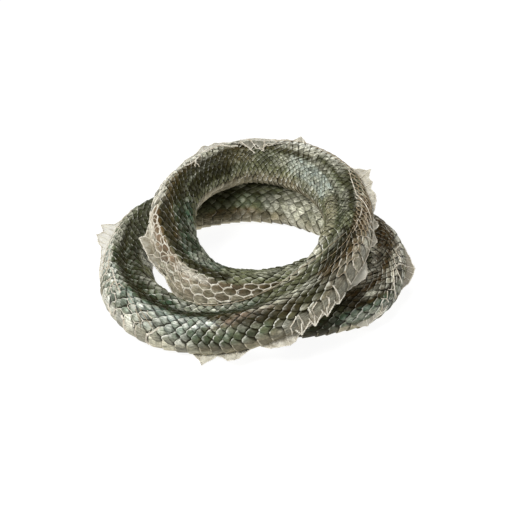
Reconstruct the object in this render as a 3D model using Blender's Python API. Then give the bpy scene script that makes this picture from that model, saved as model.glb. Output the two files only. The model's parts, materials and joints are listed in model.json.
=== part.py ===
"""A shed snake skin, lying on a flat surface in two loose turns.

The cast skin is one continuous strand. Its torn head end is tucked under the front. From there the
strand climbs into the upper ring, runs round the back on top of the lower turn, comes to the front
over its own start, goes down to the ground, round the left side and the back, and ends as a
tapering tail under the front again. The solid has the outer shape of the hollow, papery tube: the
creases where it has sagged in, the flat underside where it lies, and the torn flaps that stand up.

The frame is metres, +Z up, with the origin under the middle of the coil, on the ground.
"""

import math

import bmesh
import bpy
import numpy as np

MM = 0.001
PART_NAME = "shed_skin"

# The strand's course from the head end to the tail tip, in millimetres: x, y, the height of its
# underside above the ground, and its radius. A height of 0 lies on the ground.
ROUTE = [
    (53, 3, 0, 9.5),
    (44, -13, 0, 12.6),
    (29, -27, 0, 14.0),
    (12, -39, 0, 15.0),
    (-7, -43, 0, 15.8),
    (-25, -39, 1, 16.0),
    (-40, -28, 5, 15.8),
    (-50, -13, 14, 15.5),
    (-53, 7, 23, 15.2),
    (-48, 33, 30, 14.8),
    (-30, 58, 30.5, 14.6),
    (-11, 71, 30.5, 14.5),
    (10, 71, 30.5, 14.6),
    (32, 60, 30.5, 15.1),
    (49, 37, 30, 15.8),
    (58, 7, 29, 16.0),
    (56, -26, 29, 16.0),
    (45, -60, 28, 16.0),
    (28, -83, 23, 15.9),
    (5, -91, 14, 15.7),
    (-17, -87, 5, 15.6),
    (-38, -81, 0, 15.9),
    (-59, -72, 0, 17.2),
    (-74, -51, 0, 17.2),
    (-81, -19, 0, 16.3),
    (-79, 13, 0, 15.8),
    (-69, 42, 0, 15.2),
    (-51, 59, 0, 15.0),
    (-27, 69, 0, 15.2),
    (-4, 73, 0, 15.0),
    (23, 69, 0, 14.9),
    (46, 55, 0, 15.0),
    (65, 36, 0, 15.2),
    (78, 15, 0, 15.2),
    (81, -12, 0, 15.0),
    (75, -35, 0, 14.8),
    (61, -53, 0, 14.4),
    (45, -61, 0, 13.2),
    (30, -66, 0, 11.2),
    (17, -66, 0, 9.0),
    (7, -66, 0, 6.5),
    (-4, -66, 0, 4.0),
    (-12, -67, 0, 1.8),
]
# Moves the course so that the middle of the whole coil is over the origin.
CENTRE_SHIFT = (0.6, 7.6)

RING_PITCH = 6.4
RING_SIDES = 24
# How finely the course is followed, and the half step that its direction is taken over.
SAMPLES_PER_SPAN = 24
DIRECTION_STEP = 1.0
# The centre's height over the underside, as a share of the radius: less than 1, so that the
# lowest strip of the skin is pressed flat by the ground.
SAG = 0.92

# Lengthwise creases where the empty skin has sagged in: from and to (mm along the strand),
# angle from the top of the strand (degrees, positive towards the inside of the coil), depth (mm)
# and half width (degrees).
CREASES = [
    (105, 240, -6, 2.8, 27),
    (250, 350, 62, 1.4, 26),
    (330, 470, 26, 2.0, 26),
    (450, 680, -8, 2.8, 27),
    (560, 660, 50, 1.6, 26),
    (690, 800, 34, 1.6, 26),
    (800, 905, 12, 2.4, 27),
]
CREASE_RUN_OUT = 24.0
# Below this radius, creases and dents get shallower with the strand.
FULL_DEPTH_RADIUS = 12.0

# Shallow dents all over: depth (mm), wave length along (mm) and waves around the strand.
DENTS = [
    (0.35, 47.0, 2),
    (0.25, 29.0, -3),
    (0.30, 83.0, 1),
]

# Torn flaps of skin. Each has the angle of its root at its first and its last station, the angle
# it points at (None for straight out), and its stations: mm along the strand, mm standing out.
# Its ends are below the skin, so that its edge leaves the skin at a clear angle.
FLAPS = [
    # upper ring, left side
    (-111, -91, -80, [(133, -1), (136, 3.8), (138, 4.4), (142, 3.6), (146, 4.8), (150, 4.6),
                      (153, -1)]),
    # upper ring, back left and back
    (-45, -31, None, [(197, -1), (206, 2.8), (211, 3.6), (216, 0.8), (222, 2.4), (228, 0.8),
                      (231, 1.8), (238, -1)]),
    (-31, -31, None, [(274, -1), (278, 3.2), (283, -1)]),
    # upper ring, right side
    (-49, -81, None, [(312, -1), (319, 2.2), (326, 9.6), (329, 5.6), (333, 6.8), (336, 3.8),
                      (341, 5.2), (347, 3.2), (354, -1)]),
    (-85, -90, None, [(359, -1), (364, 3.2), (369, -1)]),
    (-96, -101, None, [(372, -1), (377, 3.2), (383, -1)]),
    # front strand, lower right
    (-107, -119, None, [(393, -1), (397, 4.4), (401, 6.6), (407, 7.0), (413, 5.2), (418, 3.2),
                        (424, -1)]),
    (-141, -149, None, [(458, -1), (462, 6.0), (465, 7.4), (470, 5.0), (474, 4.0), (479, -1)]),
    # front strand, lying out on the ground
    (-152, -152, -90, [(486, -1), (491, 6.5), (493, 8.4), (497, 7.6), (500, 5.0), (503, -1)]),
    (-152, -152, -90, [(505, -1), (508, 3.4), (511, 9.6), (514, 5.0), (518, -1)]),
    # left loop
    (-76, -55, None, [(615, -1), (621, 3.0), (625, 7.2), (629, 8.8), (633, 6.2), (638, 8.6),
                      (642, 2.6), (649, -1)]),
    # lower turn at the back, on the side away from the front
    (-84, -90, None, [(715, -1), (721, 3.4), (727, 2.0), (732, 4.0), (739, -1)]),
    # right loop
    (-71, -103, None, [(856, -1), (866, 2.6), (872, 5.0), (875, 4.4), (880, 3.6), (886, -1)]),
]
FLAP_ROOT_DEPTH = 1.6
FLAP_ROOT_THICK = 1.1
FLAP_TIP_THICK = 0.5
GROUND_CLEARANCE = 0.1

# The torn head end: a dished mouth. Its lip and its floor are shares of the radius.
MOUTH_SHARE = 0.82
MOUTH_FLOOR_SHARE = 0.49
MOUTH_DEPTH = 9.0

SKIN_COLOUR = (0.16, 0.17, 0.12, 1.0)
SKIN_ROUGHNESS = 0.5
SHARP_EDGE_DEGREES = 50.0


def clear_scene():
    for scene_object in list(bpy.data.objects):
        bpy.data.objects.remove(scene_object, do_unlink=True)


def new_collection(name):
    collection = bpy.data.collections.new(name)
    bpy.context.scene.collection.children.link(collection)
    return collection


def route_knots():
    """The course as rows of x, y, z of the strand's centre and its radius."""
    knots = []
    for x, y, lift, radius in ROUTE:
        knots.append((x + CENTRE_SHIFT[0], y + CENTRE_SHIFT[1], lift + SAG * radius, radius))
    return np.array(knots)


def spline_through(knots):
    """A natural cubic spline through the knots, with the chord length as its parameter."""
    count = len(knots)
    chords = np.linalg.norm(np.diff(knots[:, :3], axis=0), axis=1)
    at = np.concatenate([[0.0], np.cumsum(chords)])
    system = np.eye(count)
    right_side = np.zeros_like(knots)
    for i in range(1, count - 1):
        before, after = chords[i - 1], chords[i]
        system[i, i - 1:i + 2] = (before, 2.0 * (before + after), after)
        slope_after = (knots[i + 1] - knots[i]) / after
        slope_before = (knots[i] - knots[i - 1]) / before
        right_side[i] = 6.0 * (slope_after - slope_before)
    bend = np.linalg.solve(system, right_side)
    points = []
    for i in range(count - 1):
        span = chords[i]
        for step in np.linspace(0.0, span, SAMPLES_PER_SPAN, endpoint=False):
            left, rest = step, span - step
            curved = (bend[i] * rest ** 3 + bend[i + 1] * left ** 3) / (6.0 * span)
            start = (knots[i] / span - bend[i] * span / 6.0) * rest
            end = (knots[i + 1] / span - bend[i + 1] * span / 6.0) * left
            points.append(curved + start + end)
    points.append(knots[-1])
    return np.array(points)


class Strand:
    """The strand's centre line, read at any distance along it."""

    def __init__(self):
        self.samples = spline_through(route_knots())
        steps = np.linalg.norm(np.diff(self.samples[:, :3], axis=0), axis=1)
        self.at = np.concatenate([[0.0], np.cumsum(steps)])
        self.length = self.at[-1]

    def row(self, along):
        return np.array([np.interp(along, self.at, self.samples[:, k]) for k in range(4)])

    def frame(self, along):
        """Centre, radius, and the directions along, up and to the inside of the coil."""
        here = self.row(along)
        ahead = self.row(min(along + DIRECTION_STEP, self.length))
        behind = self.row(max(along - DIRECTION_STEP, 0.0))
        forward = (ahead - behind)[:3]
        forward /= np.linalg.norm(forward)
        up = np.array((0.0, 0.0, 1.0)) - forward * forward[2]
        up /= np.linalg.norm(up)
        return here[:3], here[3], forward, up, np.cross(forward, up)


def smooth_step(value):
    value = min(max(value, 0.0), 1.0)
    return value * value * (3.0 - 2.0 * value)


def crease_depth(along, degrees):
    depth = 0.0
    for start, end, angle, deepest, half_width in CREASES:
        apart = abs((degrees - angle + 180.0) % 360.0 - 180.0)
        run_in = smooth_step((along - start) / CREASE_RUN_OUT)
        run_out = smooth_step((end - along) / CREASE_RUN_OUT)
        if apart < half_width:
            across = 0.5 + 0.5 * math.cos(math.pi * apart / half_width)
            depth += deepest * across * run_in * run_out
    return depth


def dent_depth(along, degrees):
    depth = 0.0
    for deepest, wave_length, waves_around in DENTS:
        phase = 2.0 * math.pi * along / wave_length + waves_around * math.radians(degrees)
        depth += deepest * (0.5 + 0.5 * math.sin(phase))
    return depth


def outward(up, inside, degrees):
    angle = math.radians(degrees)
    return math.cos(angle) * up + math.sin(angle) * inside


def skin_point(strand, along, degrees):
    """A point of the skin, in millimetres, never below the ground."""
    centre, radius, _, up, inside = strand.frame(along)
    fade = min(1.0, radius / FULL_DEPTH_RADIUS)
    reach = radius - fade * (crease_depth(along, degrees) + dent_depth(along, degrees))
    point = centre + reach * outward(up, inside, degrees)
    point[2] = max(point[2], 0.0)
    return point


def ring_of_vertices(mesh, strand, along, shrink=1.0):
    """One ring of the skin, drawn in towards the strand's centre by the share shrink."""
    centre = strand.frame(along)[0]
    ring = []
    for side in range(RING_SIDES):
        degrees = 360.0 * (side + 0.5) / RING_SIDES
        point = centre + shrink * (skin_point(strand, along, degrees) - centre)
        ring.append(mesh.verts.new(point * MM))
    return ring


def bridge(mesh, first, second):
    count = len(first)
    for side in range(count):
        after = (side + 1) % count
        mesh.faces.new((first[side], first[after], second[after], second[side]))


def close_ring(mesh, ring, tip):
    """Triangles from a ring to one point."""
    apex = mesh.verts.new(tip * MM)
    count = len(ring)
    for side in range(count):
        mesh.faces.new((ring[side], ring[(side + 1) % count], apex))


def build_strand(strand, collection, material):
    mesh = bmesh.new()
    ring_count = int(round(strand.length / RING_PITCH)) + 1
    stations = np.linspace(0.0, strand.length, ring_count)
    rings = [ring_of_vertices(mesh, strand, along) for along in stations]
    for first, second in zip(rings, rings[1:]):
        bridge(mesh, first, second)

    # the dished mouth of the torn head end
    lip = ring_of_vertices(mesh, strand, 0.0, MOUTH_SHARE)
    floor = ring_of_vertices(mesh, strand, MOUTH_DEPTH, MOUTH_FLOOR_SHARE)
    bridge(mesh, lip, rings[0])
    bridge(mesh, floor, lip)
    close_ring(mesh, floor, strand.frame(MOUTH_DEPTH)[0])

    # the tail tip
    end_centre, end_radius, forward, _, _ = strand.frame(strand.length)
    close_ring(mesh, rings[-1], end_centre + forward * end_radius)

    bmesh.ops.recalc_face_normals(mesh, faces=mesh.faces)
    return finish_object(mesh, PART_NAME, collection, material)


def add_flap(mesh, strand, flap):
    """A torn flap as a thin closed blade rooted under the skin."""
    first_angle, last_angle, lean, stations = flap
    start, end = stations[0][0], stations[-1][0]
    rings = []
    for along, stands_out in stations:
        share = (along - start) / (end - start)
        root_angle = first_angle + share * (last_angle - first_angle)
        _, _, _, up, inside = strand.frame(along)
        points_at = root_angle if lean is None else lean
        direction = outward(up, inside, points_at)
        across = outward(up, inside, points_at + 90.0)
        surface = skin_point(strand, along, root_angle)
        root = surface - FLAP_ROOT_DEPTH * direction
        tip = surface + stands_out * direction
        corners = (
            root - 0.5 * FLAP_ROOT_THICK * across,
            root + 0.5 * FLAP_ROOT_THICK * across,
            tip + 0.5 * FLAP_TIP_THICK * across,
            tip - 0.5 * FLAP_TIP_THICK * across,
        )
        ring = []
        for corner in corners:
            corner[2] = max(corner[2], GROUND_CLEARANCE)
            ring.append(mesh.verts.new(corner * MM))
        rings.append(ring)
    for first, second in zip(rings, rings[1:]):
        bridge(mesh, first, second)
    mesh.faces.new(rings[0])
    mesh.faces.new(rings[-1])


def build_flaps(strand, collection, material):
    mesh = bmesh.new()
    for flap in FLAPS:
        add_flap(mesh, strand, flap)
    bmesh.ops.recalc_face_normals(mesh, faces=mesh.faces)
    flaps = finish_object(mesh, "torn_flaps", collection, material)
    flaps.hide_render = True
    flaps.display_type = "WIRE"
    return flaps


def finish_object(mesh, name, collection, material):
    data = bpy.data.meshes.new(name)
    mesh.to_mesh(data)
    mesh.free()
    data.materials.append(material)
    data.shade_smooth()
    data.set_sharp_from_angle(angle=math.radians(SHARP_EDGE_DEGREES))
    made = bpy.data.objects.new(name, data)
    collection.objects.link(made)
    return made


def skin_material():
    material = bpy.data.materials.new("dry_skin")
    material.use_nodes = True
    shader = material.node_tree.nodes["Principled BSDF"]
    shader.inputs["Base Color"].default_value = SKIN_COLOUR
    shader.inputs["Roughness"].default_value = SKIN_ROUGHNESS
    shader.inputs["Metallic"].default_value = 0.0
    return material


def main():
    clear_scene()
    part = new_collection("shed_snake_skin")
    tools = new_collection("joined_shapes")
    material = skin_material()
    strand = Strand()
    body = build_strand(strand, part, material)
    flaps = build_flaps(strand, tools, material)
    union = body.modifiers.new("torn_flaps", "BOOLEAN")
    union.operation = "UNION"
    union.solver = "EXACT"
    union.object = flaps
    print(f"strand {strand.length:.0f} mm long, {len(body.data.polygons)} faces before the flaps")


main()
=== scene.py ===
# %% [markdown]
# # A shed snake skin
# A snake casts its outer skin in one piece, like a stocking pulled off inside out. This one has
# dried in two loose turns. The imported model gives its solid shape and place. Everything here is
# made in that same frame, in metres, so each scale is laid on the strand where the model has it.

import json
import math

import bpy
import mathutils
import numpy as np
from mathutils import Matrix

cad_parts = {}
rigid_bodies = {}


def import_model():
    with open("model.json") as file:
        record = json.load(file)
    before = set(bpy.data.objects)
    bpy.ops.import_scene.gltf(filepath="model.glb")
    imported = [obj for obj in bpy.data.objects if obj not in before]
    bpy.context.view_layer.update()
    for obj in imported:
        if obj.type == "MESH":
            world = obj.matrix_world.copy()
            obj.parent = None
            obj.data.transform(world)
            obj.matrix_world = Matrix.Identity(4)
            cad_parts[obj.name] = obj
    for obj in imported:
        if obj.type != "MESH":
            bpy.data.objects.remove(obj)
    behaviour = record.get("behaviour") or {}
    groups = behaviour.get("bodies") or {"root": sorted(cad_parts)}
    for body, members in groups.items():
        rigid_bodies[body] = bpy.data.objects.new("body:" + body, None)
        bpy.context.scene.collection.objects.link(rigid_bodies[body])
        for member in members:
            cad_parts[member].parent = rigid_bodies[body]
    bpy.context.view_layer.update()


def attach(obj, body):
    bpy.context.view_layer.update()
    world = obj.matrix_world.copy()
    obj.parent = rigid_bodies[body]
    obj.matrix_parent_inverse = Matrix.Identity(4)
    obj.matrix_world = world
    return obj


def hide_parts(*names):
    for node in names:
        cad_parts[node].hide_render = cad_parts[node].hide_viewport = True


for leftover in list(bpy.data.objects):
    bpy.data.objects.remove(leftover, do_unlink=True)
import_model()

# %% [markdown]
# ## The strand's course
# The skin follows one line in space. It could be drawn by hand as a curve object, but every scale
# has to know where it sits along and around the strand, so the line is kept as numbers: a smooth
# spline through a few points. Each gives its place from the coil's middle, the height of the
# skin's underside and its radius, in millimetres. The skin sags a little, so its centre lies less
# than a radius over its underside.

# %% The course as a spline
MM = 0.001
NODE = "shed_skin"
COURSE = [
    (53, 3, 0, 9.5), (44, -13, 0, 12.6), (29, -27, 0, 14.0), (12, -39, 0, 15.0),
    (-7, -43, 0, 15.8), (-25, -39, 1, 16.0), (-40, -28, 5, 15.8), (-50, -13, 14, 15.5),
    (-53, 7, 23, 15.2), (-48, 33, 30, 14.8), (-30, 58, 30.5, 14.6), (-11, 71, 30.5, 14.5),
    (10, 71, 30.5, 14.6), (32, 60, 30.5, 15.1), (49, 37, 30, 15.8), (58, 7, 29, 16.0),
    (56, -26, 29, 16.0), (45, -60, 28, 16.0), (28, -83, 23, 15.9), (5, -91, 14, 15.7),
    (-17, -87, 5, 15.6), (-38, -81, 0, 15.9), (-59, -72, 0, 17.2), (-74, -51, 0, 17.2),
    (-81, -19, 0, 16.3), (-79, 13, 0, 15.8), (-69, 42, 0, 15.2), (-51, 59, 0, 15.0),
    (-27, 69, 0, 15.2), (-4, 73, 0, 15.0), (23, 69, 0, 14.9), (46, 55, 0, 15.0),
    (65, 36, 0, 15.2), (78, 15, 0, 15.2), (81, -12, 0, 15.0), (75, -35, 0, 14.8),
    (61, -53, 0, 14.4), (45, -61, 0, 13.2), (30, -66, 0, 11.2), (17, -66, 0, 9.0),
    (7, -66, 0, 6.5), (-4, -66, 0, 4.0), (-12, -67, 0, 1.8),
]
MIDDLE = (0.6, 7.6)
SAG = 0.92


def spline_through(knots, samples_per_span=24):
    """A natural cubic spline through the knots."""
    count = len(knots)
    chords = np.linalg.norm(np.diff(knots[:, :3], axis=0), axis=1)
    system = np.eye(count)
    right_side = np.zeros_like(knots)
    for i in range(1, count - 1):
        before, after = chords[i - 1], chords[i]
        system[i, i - 1:i + 2] = (before, 2.0 * (before + after), after)
        right_side[i] = 6.0 * ((knots[i + 1] - knots[i]) / after - (knots[i] - knots[i - 1]) / before)
    bend = np.linalg.solve(system, right_side)
    points = []
    for i, span in enumerate(chords):
        for left in np.linspace(0.0, span, samples_per_span, endpoint=False):
            rest = span - left
            curved = (bend[i] * rest ** 3 + bend[i + 1] * left ** 3) / (6.0 * span)
            start = (knots[i] / span - bend[i] * span / 6.0) * rest
            end = (knots[i + 1] / span - bend[i + 1] * span / 6.0) * left
            points.append(curved + start + end)
    points.append(knots[-1])
    return np.array(points)


knots = np.array([(x + MIDDLE[0], y + MIDDLE[1], lift + SAG * r, r) for x, y, lift, r in COURSE])
samples = spline_through(knots)
sample_at = np.r_[0.0, np.cumsum(np.linalg.norm(np.diff(samples[:, :3], axis=0), axis=1))]
LENGTH = sample_at[-1]
print(f"the strand is {LENGTH:.0f} mm long")


# %% Directions along, up and inwards, at every half millimetre
def read_at(along, table):
    return np.stack([np.interp(along, sample_at, table[:, k]) for k in range(table.shape[1])], -1)


def unit(vectors):
    return vectors / np.linalg.norm(vectors, axis=-1, keepdims=True)


fine_at = np.arange(0.0, LENGTH + 0.5, 0.5)
forward = unit(read_at(np.minimum(fine_at + 1, LENGTH), samples[:, :3])
               - read_at(np.maximum(fine_at - 1, 0), samples[:, :3]))
upward = unit(np.array((0.0, 0.0, 1.0)) - forward * forward[:, 2:])
strand_table = np.hstack([read_at(fine_at, samples), forward, upward, np.cross(forward, upward)])


def strand_at(along):
    """Centre, radius, and the directions along, up and to the inside of the coil."""
    shape = np.shape(along)
    flat = np.ravel(along)
    rows = np.stack([np.interp(flat, fine_at, column) for column in strand_table.T], -1)
    rows = rows.reshape(shape + (13,))
    return rows[..., :3], rows[..., 3], rows[..., 4:7], rows[..., 7:10], rows[..., 10:13]


# %% [markdown]
# ## The skin's surface
# An empty skin sags: lengthwise creases run along it, shallow dents cover it, and in a few places
# it swells or caves in. It could be sculpted, but then nothing else could be laid on it exactly. So
# a point of the skin is named by millimetres along the strand and degrees around it, from 0 on
# top, positive to the inside of the coil, and one function turns such a name, and a height over
# the skin, into a place. Layers that meet the ground are kept a hair apart there.

# %% Creases, dents and the surface function
CREASES = [
    (105, 240, -6, 2.8, 27), (250, 350, 62, 1.4, 26), (330, 470, 26, 2.0, 26),
    (450, 680, -8, 2.8, 27), (560, 660, 50, 1.6, 26), (690, 800, 34, 1.6, 26),
    (800, 905, 12, 2.4, 27),
]
CREASE_RUN_OUT = 24.0
SWELLS = [(258, 345, -30, 2.6, 55), (155, 212, -42, -2.0, 45), (530, 612, -100, 1.8, 45)]
DENTS = [(0.35, 47.0, 2), (0.25, 29.0, -3), (0.30, 83.0, 1)]
FULL_DEPTH_RADIUS = 12.0
GROUND_LAYER = 0.25
TOP_LAYER = 0.9
LEAST_LAYER = 0.05
MM_PER_DEGREE = 0.26


def smooth(value):
    value = np.clip(value, 0.0, 1.0)
    return value * value * (3.0 - 2.0 * value)


def band(along, start, end, run_out=20.0):
    """1 on a stretch of the strand and 0 off it, with soft ends inside the stretch."""
    return smooth((along - start) / run_out) * smooth((end - along) / run_out)


def folds(table, along, degrees):
    """The summed depth of long folds, each given by its stretch, angle, depth and half width."""
    depth = np.zeros(np.broadcast(along, degrees).shape)
    for start, end, angle, deepest, half_width in table:
        apart = np.abs((degrees - angle + 180.0) % 360.0 - 180.0)
        across = 0.5 + 0.5 * np.cos(np.pi * np.minimum(apart / half_width, 1.0))
        depth += deepest * across * band(along, start, end, CREASE_RUN_OUT)
    return depth


def sag_depth(along, degrees):
    depth = folds(CREASES, along, degrees)
    for deepest, wave_length, waves_around in DENTS:
        phase = 2.0 * np.pi * along / wave_length + waves_around * np.radians(degrees)
        depth += deepest * (0.5 + 0.5 * np.sin(phase))
    return depth


def outward(up, inside, degrees):
    angle = np.radians(degrees)[..., None]
    return np.cos(angle) * up + np.sin(angle) * inside


def skin(along, degrees, height=0.0):
    """Points of the skin in millimetres, raised by height. On the ground the layers keep apart."""
    along, degrees, height = np.broadcast_arrays(along, degrees, height)
    centre, radius, _, up, inside = strand_at(along)
    fade = np.minimum(1.0, radius / FULL_DEPTH_RADIUS)
    reach = radius + fade * (folds(SWELLS, along, degrees) - sag_depth(along, degrees) + height)
    points = centre + reach[..., None] * outward(up, inside, degrees)
    lowest = GROUND_LAYER * (TOP_LAYER - height).clip(LEAST_LAYER)
    points[..., 2] = np.maximum(points[..., 2], lowest)
    return points


around = skin(LENGTH / 2, np.arange(0.0, 360.0, 5.0))
print(f"halfway along, the skin is {np.ptp(around[:, 2]):.1f} mm high")

# %% [markdown]
# ## Where the rows of scales lie
# On a snake's back the scales stand in lengthwise rows, narrow along the spine and wider down the
# flanks, and each row is half a scale out of step with the next. The belly has one wide plate to
# each step. This empty skin has twisted as it dried, so the rows wander: a short table says, at
# points along the strand, at which angle the back's outer edge, spine and inner edge lie. Another
# says where the skin was pulled or pushed together, so that its scales are longer or shorter.

# %% Row widths and the twist of the skin
SCALE_PITCH = 6.75
STRETCHES = [(160.0, 398.0, -0.33), (385.0, 455.0, 0.6), (690.0, 815.0, 0.15)]
STRETCH_RUN_OUT = 30.0
ROWS_PER_SIDE = 8
ROW_WIDTHS = [1.80, 1.90, 2.10, 2.45, 2.95, 3.55, 4.20, 4.80, 5.40]
TWIST = np.array([
    (0, -95, 0, 95), (60, -97, 0, 95), (110, -97, 5, 95), (135, -84, 8, 96), (160, -88, 5, 98),
    (200, -95, 15, 108), (240, -100, 32, 116), (300, -95, 38, 116), (350, -85, 25, 100),
    (380, -68, 5, 97), (415, -62, -5, 98), (440, -72, -18, 98), (470, -104, -18, 98),
    (495, -112, -16, 97), (525, -104, -14, 96), (550, -86, -10, 95), (600, -88, -8, 92),
    (690, -98, 2, 96), (725, -98, 8, 112), (780, -95, 8, 114), (850, -95, -5, 95),
    (900, -100, -15, 92), (940, -115, -20, 92), (997, -95, 0, 95),
], float)

row_edges = np.cumsum([ROW_WIDTHS[0] / 2] + ROW_WIDTHS[1:])
row_edge_at = np.r_[0.0, np.arange(0.5, ROWS_PER_SIDE + 1), ROWS_PER_SIDE + 1.5]
row_edge_share = np.r_[0.0, row_edges, row_edges[-1] + ROW_WIDTHS[-1]] / row_edges[-1]

stretch_at = np.arange(0.0, LENGTH, 1.0)
stretch = np.ones(len(stretch_at))
for start, end, more in STRETCHES:
    stretch += more * band(stretch_at, start, end, STRETCH_RUN_OUT)
step_table = np.cumsum(1.0 / (SCALE_PITCH * stretch))
STEPS = int(step_table[-1])
print("steps of scales along the strand:", STEPS)


def step_place(step):
    """Millimetres along the strand of a step of the lattice, which may be a fraction."""
    return np.interp(step, step_table, stretch_at)


def back_share(row):
    """How far from the spine to the edge of the back a row is, from -1 to 1."""
    return np.sign(row) * np.interp(np.abs(row), row_edge_at, row_edge_share)


def back_limits(along):
    return [np.interp(along, TWIST[:, 0], TWIST[:, k]) for k in (1, 2, 3)]


def row_angle(along, row):
    outer, spine, inner = back_limits(along)
    share = back_share(row)
    return spine + share * np.where(share > 0, inner - spine, spine - outer)


def share_of_angle(along, degrees):
    """The same share from an angle. Past 1 or -1 it is the belly."""
    outer, spine, inner = back_limits(along)
    degrees = (degrees - spine + 180.0) % 360.0 - 180.0
    return np.where(degrees > 0, degrees / (inner - spine), degrees / (spine - outer))
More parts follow.
